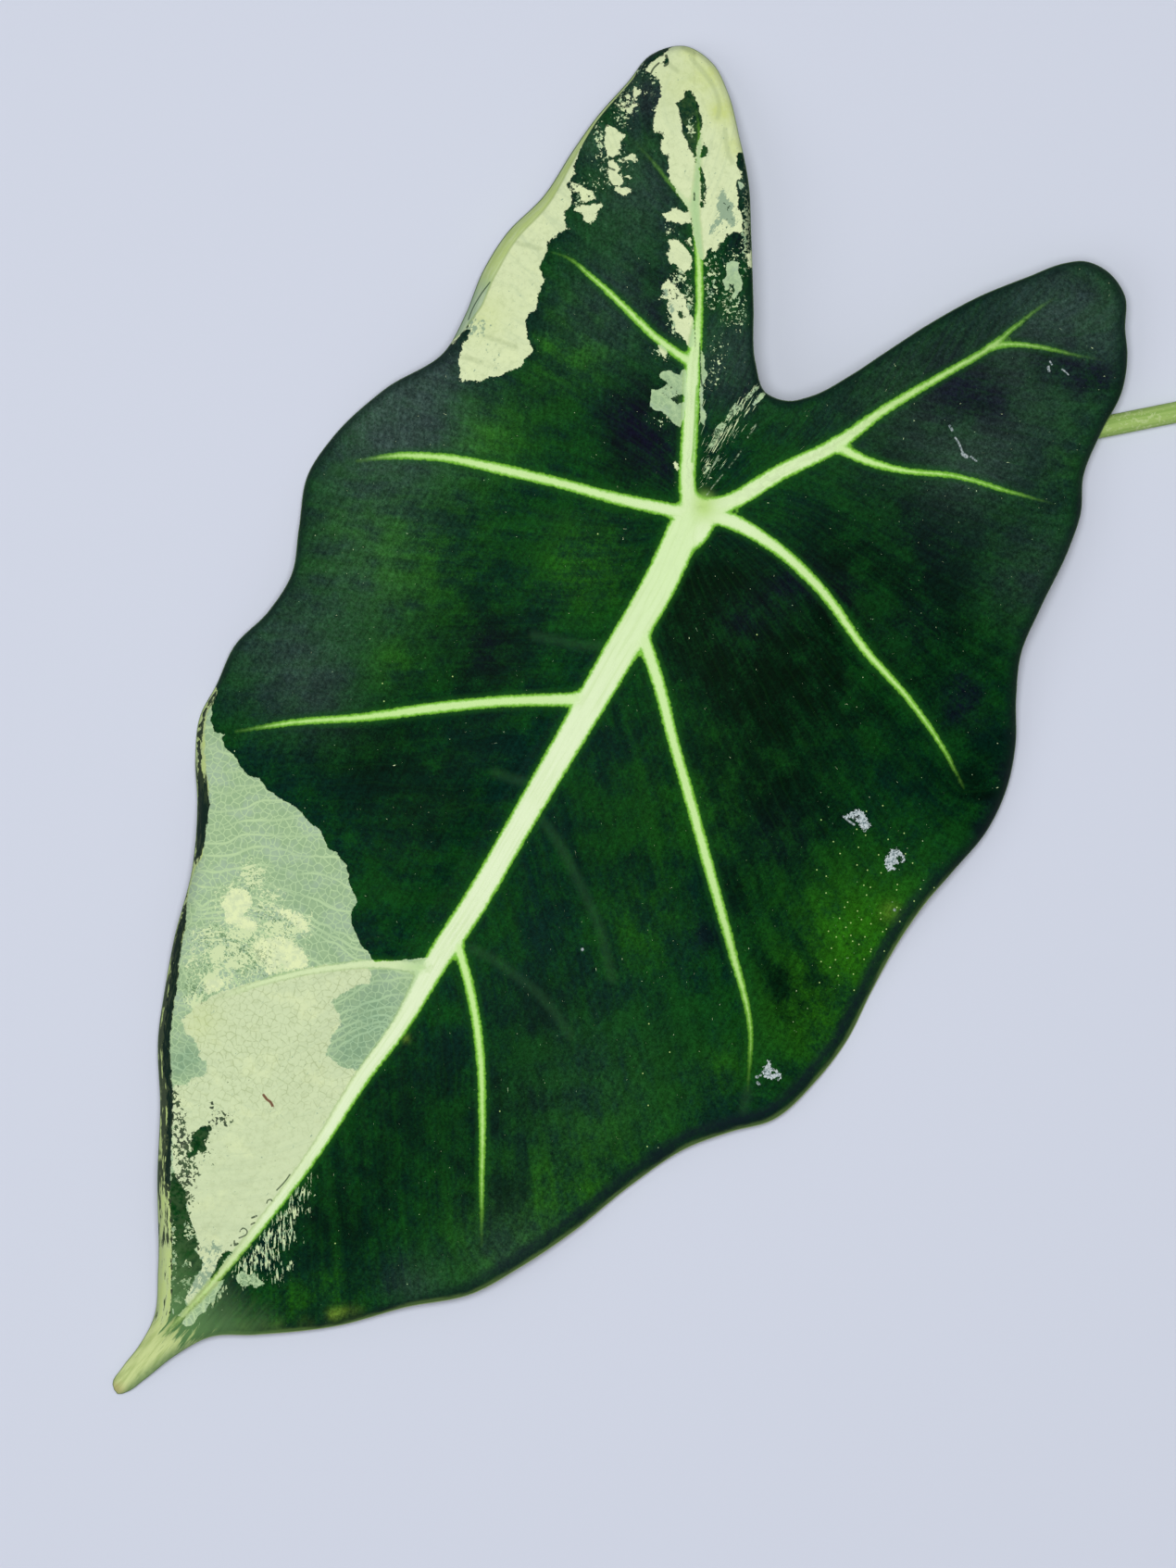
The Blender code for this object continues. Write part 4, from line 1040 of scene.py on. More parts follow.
# Scale is one number, or one for each direction.
def noise(vector, scale, detail=2.0, roughness=0.5, distortion=0.0):
    if isinstance(scale, tuple):
        vector, scale = stretched(vector, scale), 1.0
    inputs = {"Vector": vector, "Scale": scale, "Detail": detail, "Roughness": roughness,
              "Distortion": distortion}
    return made(vector.tree, "ShaderNodeTexNoise", inputs, "Fac")


# Pushes a value up and down with a noise.
def swayed(value, push, much, middle=0.5):
    return (push - middle) * much + value


# A named node group, its inputs, its outputs' sockets and its inputs' identifiers.
def newGroup(name, treeKind, inputs, outputs):
    group = bpy.data.node_groups.new(name, treeKind)
    identifiers = {}
    for label, (kind, *default) in inputs.items():
        socket = group.interface.new_socket(label, in_out="INPUT", socket_type="NodeSocket" + kind)
        identifiers[label] = socket.identifier
        if default:
            socket.default_value = default[0]
    for label, kind in outputs.items():
        group.interface.new_socket(label, in_out="OUTPUT", socket_type="NodeSocket" + kind)
    entry, leave = addNode(group, "NodeGroupInput"), addNode(group, "NodeGroupOutput")
    return group, {socket.name: wire(socket) for socket in entry.outputs}, leave.inputs, identifiers


def newMaterial(name, settings):
    material = bpy.data.materials.new(name)
    material.use_nodes = True
    shader = material.node_tree.nodes["Principled BSDF"].inputs
    for socket, value in settings.items():
        shader[socket].default_value = value
    return material, material.node_tree, shader


# Object coordinates in mm.
def placeIn(tree):
    return stretched(made(tree, "ShaderNodeTexCoord", output="Object"), (1 / mm, 1 / mm, 1 / mm))


# A bump from heights between 0 and about 1, so many mm high.
def addBump(shader, height, distance):
    inputs = {"Height": height, "Strength": drawing["bumpStrength"], "Distance": distance * mm}
    made(height.tree, "ShaderNodeBump", inputs, "Normal").into(shader["Normal"])


# Screen colours, 0 to 255, as Blender's linear ones.
def paints(table):
    def linear(part):
        return part / 12.92 if part <= 0.04045 else ((part + 0.055) / 1.055) ** 2.4
    return {name: (*[linear(part / 255) for part in screen], 1) for name, screen in table.items()}


def addObject(name, data):
    thing = bpy.data.objects.new(name, data)
    bpy.context.scene.collection.objects.link(thing)
    return thing


# Shared effects

# Turns a depth in mm into a mask with a frayed edge.
def makeRaggedEdge():
    sockets = {"Depth": ("Float", 0.0), "Vector": ("Vector",), "Fray": ("Float", 0.4),
               "Scale": ("Float", 0.6), "Softness": ("Float", 0.1)}
    group, entry, leave, _ = newGroup("raggedEdge", "ShaderNodeTree", sockets, {"Mask": "Float"})
    rough = noise(entry["Vector"], entry["Scale"], detail=6.0, roughness=0.74)
    depth = (rough - 0.5) * entry["Fray"] * 4.0 + entry["Depth"]
    eased(depth, entry["Softness"] * -1.0, entry["Softness"]).into(leave["Mask"])
    return group


# Flakes of one colour on another, denser where Density is higher.
def makeSpeckle():
    sockets = {"Density": ("Float", 0.0), "Vector": ("Vector",), "Scale": ("Float", 1.0)}
    group, entry, leave, _ = newGroup("speckle", "ShaderNodeTree", sockets, {"Mask": "Float"})
    flakes = noise(entry["Vector"], entry["Scale"], detail=3.0, roughness=0.65, distortion=0.4)
    limit = entry["Density"] * -0.25 + 0.74
    eased(flakes - limit, -0.008, 0.014).into(leave["Mask"])
    return group


# Thin veins that follow the fan, and the net of finest veins between them.
def makeVeinNet():
    sockets = {"Vector": ("Vector",), "Fan": ("Float", 0.0), "Steep": ("Float", 1.0),
               "Spacing": ("Float", 3.5), "Cell": ("Float", 1.5), "Width": ("Float", 0.14)}
    masks = {"Lines": "Float", "Net": "Float"}
    group, entry, leave, _ = newGroup("veinNet", "ShaderNodeTree", sockets, masks)
    vector = entry["Vector"]
    turns = (noise(vector, 0.09) - 0.5) * 1.1 + reckon("DIVIDE", entry["Fan"], entry["Spacing"])
    offLine = reckon("ABSOLUTE", reckon("FRACT", turns) - 0.5)
    gap = reckon("DIVIDE", offLine * entry["Spacing"], entry["Steep"])
    lines = eased(gap, entry["Width"], entry["Width"] * 2.6, 1.0, 0.0)
    (lines * eased(noise(vector, 0.12), 0.35, 0.62, 0.35, 1.0)).into(leave["Lines"])
    warp = made(group, "ShaderNodeTexNoise", {"Vector": vector, "Scale": 0.5, "Detail": 1.0}, "Color")
    warp = made(group, "ShaderNodeVectorMath", {0: warp, 1: (0.9, 0.9, 0.0)}, operation="MULTIPLY")
    moved = made(group, "ShaderNodeVectorMath", {0: vector, 1: warp}, operation="ADD")
    inputs = {"Vector": moved, "Scale": reckon("DIVIDE", 1.0, entry["Cell"]), "Randomness": 0.85}
    edges = made(group, "ShaderNodeTexVoronoi", inputs, "Distance", voronoi_dimensions="2D",
                 feature="DISTANCE_TO_EDGE")
    eased(edges, 0.015, 0.12, 1.0, 0.0).into(leave["Net"])
    return group


raggedEdge, speckle, veinNet = makeRaggedEdge(), makeSpeckle(), makeVeinNet()
print("shared effects built")

bladeFinish = {"Roughness": 0.52, "Specular IOR Level": 0.018, "Sheen Weight": 0.006, "Sheen Roughness": 0.4}
bladePaint = paints({
    # Among these: a painted sheen grey, painted shade for the turned-down margin and its lower rim, and a
    # painted highlight for that rim's edge.
    "blueBlack": (3, 33, 26), "leafGreen": (10, 60, 17), "deepGreen": (0, 21, 6), "livelyGreen": (38, 98, 12),
    "sheenGrey": (72, 90, 86), "dusk": (10, 6, 30), "glow": (28, 84, 24), "yellowGreen": (104, 132, 46),
    "olive": (52, 80, 46), "faintGreen": (48, 92, 52),
    "mintCell": (149, 178, 136), "mintLine": (184, 210, 160), "mintBlue": (158, 182, 154),
    "deepMint": (127, 158, 125), "deepMintLine": (158, 190, 152), "fleck": (98, 130, 90),
    "creamCell": (205, 219, 176), "lobeCream": (215, 227, 180), "creamLine": (170, 185, 138),
    "creamShade": (188, 204, 164), "bright": (224, 235, 182), "warmCream": (202, 215, 138),
    "greyCream": (138, 164, 137), "speckCream": (206, 222, 172), "speckMint": (146, 176, 138),
    "thread": (164, 186, 152),
    "veinWhite": (224, 239, 199), "veinGreen": (190, 230, 140), "veinEdge": (118, 186, 54),
    "veinOnPale": (214, 232, 182), "veinOnLobe": (174, 206, 150), "veinByTip": (178, 206, 124),
    "paleShade": (160, 190, 120), "streak": (188, 216, 144), "hub": (178, 212, 118),
    "hubSide": (140, 186, 84), "tipGreen": (198, 212, 146),
    "tipStreak": (140, 164, 88), "tipShade": (98, 138, 84),
    "tipBrown": (172, 148, 92), "lobeMargin": (184, 204, 128), "lobeGrey": (158, 182, 150),
    "stripPale": (178, 196, 140), "marginShade": (18, 38, 32), "edgeLine": (96, 118, 80), "rim": (96, 122, 84),
    "rimShade": (18, 28, 36), "rimGreen": (88, 118, 58), "rimHighlight": (186, 206, 146),
    "dot": (196, 226, 140), "scar": (200, 210, 212), "scarGrey": (112, 130, 132), "red": (104, 48, 30),
    "underGreen": (104, 136, 92), "underVein": (172, 196, 128), "underPale": (186, 202, 154),
})
# Flat directions that noises are stretched along, each from two fields.
bladeAxes = {"flat": ("fan", "spine"), "rim": ("run", "edge"), "tip": ("tipAcross", "tipReach"),
             "vein": ("veinRun", "veinGap")}
# Noises: what they lie on, scale in 1/mm (or along and across), detail, roughness, distortion.
bladeNoise = {
    "brushed": ("flat", (0.3, 0.05), 4, 0.6), "clouds": ("place", 0.05), "patches": ("place", 0.2, 4, 0.62),
    "grain": ("place", 1.5, 3, 0.8), "shimmer": ("place", 1.2, 4, 0.85),
    "strokes": ("flat", (0.5, 0.08), 3, 0.6), "ripples": ("flat", (0.14, 0.9), 3, 0.6),
    "uneven": ("rim", (0.12, 0.5), 4, 0.65), "streaks": ("rim", (0.16, 1.3), 4, 0.65),
    "rough": ("rim", (0.5, 1.0), 4, 0.65), "strands": ("tip", (1.2, 0.13), 4, 0.6),
    "ragged": ("place", 1.1, 4, 0.66), "fibres": ("vein", (0.05, 1.1), 3, 0.55),
    "cloudy": ("place", 0.16, 4, 0.6), "softly": ("place", 0.7, 4, 0.7),
    "creamBrush": ("flat", (0.5, 0.12), 4, 0.6), "frayed": ("place", (1.3, 0.8), 4, 0.7),
    "film": ("place", 2.1, 3, 0.7, 0.3),
}
bladeMottle = {"brushed": 0.22, "clouds": 0.3, "patches": 0.26, "grain": 0.22}
# Places on the green: the noise that breaks them up, how, and their colour.
greenPlaces = {
    "lively": ("mottle", (0.4, 0.6, 0.15, 0.9), "livelyGreen"),
    "deep": ("mottle", (0.6, 0.42, 0.3, 0.95), "deepGreen"),
    "dusk": ("mottle", (0.64, 0.42, 0.35, 1.0), "dusk"),
    # Painted sheen: grey places.
    "paintedSheen": ("grain", (0.3, 0.7, 0.3, 0.7), "sheenGrey"),
    "yellow": ("patches", (0.35, 0.6, 0.3, 1.0), "yellowGreen"),
}
# Smooth steps: two values of what is read, and what comes out there if it isn't 0 and 1.
bladeSteps = {
    "green": (0.41, 0.59), "shimmer": (0.32, 0.68, 0.62, 1.46), "strokes": (0.32, 0.68, 0.88, 1.13),
    "ripples": (0.32, 0.68, 0.86, 1.18), "faint": (0.0, 1.9, 0.26, 0.0),
    "shade": (0.1, 0.8, 0.0, 0.6), "band": (0.0, 2.2, 0.75, 0.0), "outer": (0.3, 1.5, 0.9, 0.0),
    "outerEdge": (1.6, 0.6), "stripPale": (0.36, 0.6), "stripTone": (0.64, 0.7, 0.0, 0.9),
    "stripShade": (-0.06, 0.1), "stripStreaks": (0.66, 0.54, 0.3, 0.95), "strip": (0.0, 0.2),
    "lobeStreaks": (0.4, 0.65, 0.0, 0.4), "lobeEdge": (0.1, 0.4, 0.8, 0.0), "lobeStrip": (-0.1, 0.15),
    "fold": (0.08, 0.3, 0.45, 0.0), "foldOnCream": (0.0, 0.3), "nearTip": (38.0, 19.0, 0.0, 0.8),
    "tipStreaks": (0.42, 0.66, 0.0, 0.5), "tip": (20.0, 15.5), "rim": (0.05, 0.32, 0.7, 0.0),
    "halo": (-1.7, -0.1), "besideVein": (-0.75, -0.3, 0.0, 0.5), "byTip": (56.0, 22.0, 0.0, 0.9),
    "veinEdge": (-0.42, 0.08), "fibres": (0.44, 0.68, 0.0, 0.32), "coreEdge": (0.2, 1.0, 0.4, 0.0),
    "hubSide": (0.05, 0.9, 0.0, 0.75), "core": (-0.02, 0.6), "slit": (0.12, 0.42, 0.7, 0.0),
    "mintBlue": (0.42, 0.62), "milky": (0.4, 0.65), "cracked": (0.36, 0.6, 0.1, 1.0),
    "creamBright": (0.5, 0.68, 0.0, 0.4), "creamLine": (0.45, 0.72, 0.0, 0.28),
    "creamShade": (0.5, 0.72, 0.0, 0.5), "warm": (0.25, 0.6, 0.6, 1.0),
    "capVein": (0.15, 0.85, 0.45, 0.0), "greyed": (0.64, 0.72, 0.0, 0.9),
    "specks": (0.42, 0.6), "bright": (0.4, 0.62), "olive": (0.38, 0.62, 0.0, 0.85),
    "darkThread": (-0.1, 0.1, 0.0, 0.85), "paleThread": (-0.12, 0.1, 0.0, 0.7), "brokenThread": (0.42, 0.6),
    "dot": (0.03, 0.085, 0.8, 0.0), "silver": (0.4, 0.56), "scar": (-0.06, 0.12, 0.0, 0.95),
    "thread": (-0.12, 0.1, 0.0, 0.7), "red": (-0.1, 0.12, 0.0, 0.9), "underVein": (-0.8, 0.4),
    "upper": (0.3, 0.7),
}
# How far noises push the edges of things, in mm or in what is read.
bladeSway = {
    "rim": 3.0, "stripShade": 2.4, "strip": 1.6, "tip": -26.0, "nearTip": -8.0, "vein": 0.9, "scar": 2.2,
}
bladeFray = {"mint": (0.34, 0.7), "cream": (0.62, 1.0), "dark": (0.62, 1.0), "bright": (1.15, 1.7)}
# How strongly things show.
bladeShare = {
    "lines": 0.07, "duskOnSheen": -0.7, "stripTone": 0.34, "tipSide": 0.7, "tipEnd": 0.6, "halo": 0.55,
    "hub": 0.85, "netty": (0.65, 0.35), "milky": (-0.4, 0.62), "mintLines": 0.95, "mintNet": 0.85,
    "creamLines": 0.25, "creamNet": 0.8, "greyPale": 0.34, "flecks": 0.8,
    "brightFlecks": 0.55, "creamFlecks": 0.9, "underNet": 0.5,
}
bladeMarks = {
    "bandMiddle": 2.4, "filmMiddle": 0.47, "streakyScale": (1.15, 0.55), "dotScale": 0.42, "dotChance": 0.45,
    "paleScale": 1.35, "darkScale": 1.9, "darkOnCream": 1.1, "creamScale": 1.8, "softness": 0.07,
    "relief": (0.3, 0.4, 0.2), "bump": 0.14,
}


def ramp(value, name):
    return eased(value, *bladeSteps[name])


# Dark green lamina: blue-black and green in fine grain, with livelier and deeper places and a painted grey
# sheen.
def laminaColour(at, grain):
    look = bladePaint
    first, *others = [grain(name) * weight for name, weight in bladeMottle.items()]
    mottle = sum(others, first)
    green = blend(ramp(mottle, "green"), look["blueBlack"], look["leafGreen"])
    for name, (breaker, step, paint) in greenPlaces.items():
        much = at(name) * eased(mottle if breaker == "mottle" else grain(breaker), *step)
        # The grey places are painted sheen, weaker where the green is dusky.
        if name == "paintedSheen":
            much = much * (at("dusk") * bladeShare["duskOnSheen"] + 1.0)
        green = blend(much, green, look[paint])
    value = ramp(grain("shimmer"), "shimmer") * ramp(grain("strokes"), "strokes")
    value = value * ramp(grain("ripples"), "ripples")
    tint = made(value.tree, "ShaderNodeCombineXYZ", {"X": value, "Y": value, "Z": value})
    return blend(1.0, green, tint, "MULTIPLY")


# The colour of the margin that is turned down, with painted shade on it, of the tip, and of the thin rim with
# a painted highlight on the lower edge.
def marginColour(at, grain, skin, onGreen):
    look, sway, share = bladePaint, bladeSway, bladeShare
    edge, streaks, rough, strands = at("edge"), grain("streaks"), grain("rough"), grain("strands")
    # Painted shade: the turned-down margin darkens towards its edge.
    skin = blend(ramp(at("shade") * onGreen, "shade"), skin, look["marginShade"])
    low = at("lowRim") * onGreen
    inward = swayed(edge, grain("uneven"), sway["rim"])
    # Painted shade: a dark band a little inside the lower margin, where it turns down.
    band = ramp(reckon("ABSOLUTE", inward - bladeMarks["bandMiddle"]), "band") * at("lowBand")
    skin = blend(band * onGreen, skin, look["rimShade"])
    skin = blend(ramp(inward, "outer") * ramp(edge, "outerEdge") * low, skin, look["rimGreen"])

    strip = blend(ramp(streaks, "stripPale"), look["lobeMargin"], look["stripPale"])
    # Painted shade on the turned-down left margin: its streaks darken, and it is nearly black between two
    # distances from its edge.
    toned = ramp(at("stripTone") * share["stripTone"] + streaks, "stripTone")
    strip = blend(toned, strip, look["marginShade"])
    black = ramp(swayed(at("stripShade"), rough, sway["stripShade"]), "stripShade")
    black = black * ramp(streaks, "stripStreaks")
    onStrip = ramp(swayed(at("strip"), rough, sway["strip"]), "strip")
    skin = blend(onStrip, skin, blend(black, strip, look["marginShade"]))

    lobe = blend(at("lobeGrey"), look["lobeMargin"], look["lobeGrey"])
    lobe = blend(ramp(streaks, "lobeStreaks"), lobe, look["creamCell"])
    lobe = blend(ramp(edge, "lobeEdge"), lobe, look["edgeLine"])
    skin = blend(ramp(at("lobeStrip"), "lobeStrip"), skin, lobe)
    fold = ramp(reckon("ABSOLUTE", at("lobeStrip")), "fold") * ramp(at("cream"), "foldOnCream")
    skin = blend(fold, skin, look["tipStreak"])

    darker = ramp(swayed(at("tipReach"), strands, sway["nearTip"]), "nearTip") * onGreen * (1.0 - onStrip)
    skin = blend(darker, skin, look["tipShade"])
    tip = blend(ramp(strands, "tipStreaks"), look["tipGreen"], look["tipStreak"])
    tip = blend(at("tipSide") * share["tipSide"], tip, look["tipShade"])
    tip = blend(at("tipEnd") * share["tipEnd"], tip, look["tipBrown"])
    skin = blend(ramp(swayed(at("tipReach"), strands, sway["tip"]), "tip"), skin, tip)
    # The thin rim along the edge, with a painted highlight along the lower margin's edge.
    return blend(ramp(edge, "rim"), skin, blend(low, look["rim"], look["rimHighlight"]))


# The main veins, with a green glow beside them, lime edges and streaks along them.
def veinColour(at, grain, skin, onGreen):
    look = bladePaint
    show, tone, hub = at("veinShow"), at("veinTone"), at("hubTint")
    depth = swayed(at("vein"), grain("ragged"), bladeSway["vein"])
    skin = blend(ramp(depth, "halo") * onGreen * bladeShare["halo"] * show, skin, look["glow"])
    skin = blend(ramp(depth, "besideVein") * (1.0 - onGreen) * show, skin, look["paleShade"])
    onPale = blend(at("netty"), look["veinOnLobe"], look["veinOnPale"])
    byTip = ramp(at("tipReach"), "byTip")
    edge = blend(byTip, blend(onGreen, onPale, look["veinEdge"]), look["tipStreak"])
    skin = blend(ramp(depth, "veinEdge") * show, skin, edge)
    core = blend(tone, look["veinGreen"], look["veinWhite"])
    core = blend(reckon("MAXIMUM", onGreen, tone), onPale, core)
    core = blend(byTip, core, look["veinByTip"])
    core = blend(ramp(grain("fibres"), "fibres"), core, look["streak"])
    core = blend(ramp(depth, "coreEdge") * onGreen, core, look["veinGreen"])
    core = blend(hub * bladeShare["hub"], core, look["hub"])
    skin = blend(ramp(hub, "hubSide"), skin, look["hubSide"])
    skin = blend(ramp(depth, "core") * show, skin, core)
    return blend(ramp(at("slit"), "slit") * onGreen, skin, look["veinEdge"]), depth


# Pale grey-green and cream, each with its net.
def paleColours(at, grain, lines, net):
    look, share = bladePaint, bladeShare
    cloudy, softly = grain("cloudy"), grain("softly")
    netty, milky = [at("netty") * share[name][0] + share[name][1] for name in ("netty", "milky")]
    meshed = reckon("MAXIMUM", lines * share["mintLines"], net * share["mintNet"]) * netty
    cell = blend(ramp(cloudy, "mintBlue"), look["mintCell"], look["mintBlue"])
    cell = blend(at("deepMint"), cell, look["deepMint"])
    mint = blend(meshed, cell, blend(at("deepMint"), look["mintLine"], look["deepMintLine"]))
    mint = blend(ramp(softly, "milky") * milky, mint, look["mintLine"])
    cracked = reckon("MAXIMUM", lines * share["creamLines"], net * share["creamNet"]) * netty
    cracked = cracked * ramp(softly, "cracked") * at("crazed")
    cream = blend(cracked, blend(at("netty"), look["lobeCream"], look["creamCell"]), look["creamLine"])
    greyed = at("greyPale") * share["greyPale"] + grain("frayed")
    for factor, paint in ((ramp(cloudy, "creamBright"), "bright"), (ramp(softly, "creamLine"), "creamLine"),
                          (ramp(grain("creamBrush"), "creamShade"), "creamShade"),
                          (at("warm") * ramp(softly, "warm"), "warmCream"),
                          (ramp(at("capVein"), "capVein"), "creamLine"),
                          (ramp(greyed, "greyed"), "greyCream")):
        cream = blend(factor, cream, look[paint])
    return mint, cream


# Pin-prick dots, thin threads, silvery scars and a red scratch.
def smallMarks(at, grain, skin, place, onGreen, green):
    look = bladePaint
    skin = blend(ramp(at("darkThread"), "darkThread"), skin, green)
    broken = ramp(at("paleThread"), "paleThread") * ramp(grain("softly"), "brokenThread")
    skin = blend(broken, skin, look["thread"])
    inputs = {"Vector": place, "Scale": bladeMarks["dotScale"], "Randomness": 1.0}
    cells = addNode(place.tree, "ShaderNodeTexVoronoi", inputs, voronoi_dimensions="2D").outputs
    draw = made(place.tree, "ShaderNodeSeparateColor", {0: wire(cells["Color"])})
    chance = reckon("LESS_THAN", draw, at("dots") * bladeMarks["dotChance"])
    dot = ramp(wire(cells["Distance"]), "dot") * chance
    skin = blend(dot * onGreen, skin, look["dot"])
    film = grain("film")
    scar = ramp(swayed(at("scar"), film, bladeSway["scar"], bladeMarks["filmMiddle"]), "scar")
    silver = blend(ramp(film, "silver"), look["scarGrey"], look["scar"])
    skin = blend(reckon("MAXIMUM", scar, ramp(at("thread"), "thread")), skin, silver)
    return blend(ramp(at("red"), "red"), skin, look["red"])


def bladeMaterial():
    look, share, marks = bladePaint, bladeShare, bladeMarks
    material, tree, shader = newMaterial("bladeSkin", bladeFinish)
    place = placeIn(tree)

    @cache
    def at(name):
        return made(tree, "ShaderNodeAttribute", output="Fac", attribute_name=name)

    vectors = {name: made(tree, "ShaderNodeCombineXYZ", {"X": at(x), "Y": at(y)})
               for name, (x, y) in bladeAxes.items()}
    vectors["place"] = place
    streaky = stretched(vectors["flat"], marks["streakyScale"])

    @cache
    def grain(name):
        vector, *settings = bladeNoise[name]
        return noise(vectors[vector], *settings)

    def patch(name):
        fray, scale = bladeFray[name]
        inputs = {"Depth": at(name), "Vector": place, "Fray": fray, "Scale": scale,
                  "Softness": marks["softness"]}
        return made(tree, "ShaderNodeGroup", inputs, "Mask", node_tree=raggedEdge)

    def specks(name, scale, vector=place):
        inputs = {"Density": at(name), "Vector": vector, "Scale": scale}
        return made(tree, "ShaderNodeGroup", inputs, "Mask", node_tree=speckle)

    inputs = {"Vector": place, "Fan": at("fan"), "Steep": at("steep")}
    nets = addNode(tree, "ShaderNodeGroup", inputs, node_tree=veinNet).outputs
    lines, net = wire(nets["Lines"]), wire(nets["Net"])
    green = blend(lines * share["lines"], laminaColour(at, grain), look["glow"])
    green = blend(ramp(at("faint"), "faint"), green, look["faintGreen"])
    mint, cream = paleColours(at, grain, lines, net)

    softly = grain("softly")
    pale = reckon("MAXIMUM", specks("paleSpecks", marks["paleScale"]), specks("strokeSpecks", 1.0, streaky))
    speckColour = blend(ramp(softly, "specks"), look["speckCream"], look["speckMint"])
    isMint, isCream, isDark, isBright = [patch(name) for name in ("mint", "cream", "dark", "bright")]
    skin = blend(isMint, blend(pale, green, speckColour), mint)
    flecks = specks("darkSpecks", marks["darkScale"]) * isMint
    skin = blend(flecks * share["flecks"], skin, blend(at("netty"), green, look["fleck"]))
    flakes = reckon("MAXIMUM", specks("creamSpecks", marks["creamScale"]),
                    specks("creamSpecks", 1.0, streaky))
    skin = blend(flakes * isMint, skin, look["speckCream"])
    skin = blend(isBright, skin, blend(ramp(softly, "bright"), look["bright"], look["creamCell"]))
    skin = blend(flecks * isBright * share["brightFlecks"], skin, look["fleck"])
    skin = blend(isCream, skin, cream)
    skin = blend(specks("darkSpecks", marks["darkOnCream"]) * isCream * share["creamFlecks"], skin, green)
    olive = blend(ramp(softly, "olive"), green, look["olive"])
    skin = blend(isDark, skin, blend(pale, olive, speckColour))
    isPale = reckon("MAXIMUM", isMint, isCream)
    onGreen = reckon("MAXIMUM", 1.0 - isPale, isDark)
    skin = marginColour(at, grain, skin, onGreen)
    skin, veinDepth = veinColour(at, grain, skin, onGreen)
    skin = smallMarks(at, grain, skin, place, onGreen, green)

    ribbed = reckon("MAXIMUM", lines, net * share["underNet"])
    under = blend(ribbed, look["underGreen"], look["underVein"])
    under = blend(isPale, under, look["underPale"])
    under = blend(ramp(veinDepth, "underVein"), under, look["underVein"])
    blend(ramp(at("upper"), "upper"), under, skin).into(shader["Base Color"])
    ofGrain, ofLines, ofNet = marks["relief"]
    height = grain("grain") * ofGrain + lines * ofLines + net * ofNet
    addBump(shader, height, marks["bump"])
    return material


def makeBlade():
    piece = addObject("bladeSurface", bladeMesh())
    piece.data.materials.append(bladeMaterial())
    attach(piece, body)
    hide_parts("leaf_blade")
    print("blade made")


# Stalk

stalk = {                            # mm and degrees, as in the frame's stalk
    "heading": 11.4, "top": 11.4, "bendReach": 22.0, "bendSteps": 28, "length": 240.0, "step": 1.6,
    "radius": 2.3, "endRadius": 3.1, "bow": 9.0, "bowStart": 110.0, "flat": 0.86, "sides": 40,
    "sharpAngle": 50, "finish": {"Roughness": 0.6, "Specular IOR Level": 0.1}, "bump": 0.1,
    "streaks": ((0.06, 1.6, 1.6), 4), "lit": (0.3, 0.7), "skinShare": 0.5, "spread": 0.12,
    "speckDensity": (0.3, 0.7, 0.45, 0.8), "speckScale": 1.3, "speckShare": 0.5, "poreScale": 2.6,
    "pores": (0.15, 0.4),
}
stalkPaint = paints({
    "skin": (149, 179, 96), "lit": (165, 192, 112), "speck": (192, 208, 152), "shade": (122, 158, 74),
    "cut": (198, 210, 158), "pore": (128, 146, 92),
})


# Centre line of the stalk in drawn mm, with its radius.
def stalkPath():
    low = stalk["flat"] * stalk["radius"]
    line = []
    for bend in np.linspace(0, math.pi / 2, stalk["bendSteps"]):
        height = low + (stalk["top"] - low) * (1 - math.sin(bend))
        line.append((stalk["bendReach"] * (1 - math.cos(bend)), height, stalk["radius"]))
    steps = round((stalk["length"] - stalk["bendReach"]) / stalk["step"])
    for reach in np.linspace(stalk["bendReach"], stalk["length"], steps + 1)[1:]:
        swell = max(0.0, (reach - stalk["bowStart"]) / (stalk["length"] - stalk["bowStart"]))
        radius = stalk["radius"] + (stalk["endRadius"] - stalk["radius"]) * swell
        line.append((reach, stalk["flat"] * radius, radius))
    line = np.array(line)
    angle = math.radians(stalk["heading"])
    past = np.clip((line[:, 0] - stalk["bowStart"]) / (stalk["length"] - stalk["bowStart"]), 0, None)
    bow = stalk["bow"] * past ** 2
    x = line[:, 0] * math.cos(angle) + bow * math.sin(angle)
    y = line[:, 0] * math.sin(angle) - bow * math.cos(angle)
    return np.column_stack([x, y, line[:, 1]]), line[:, 2]


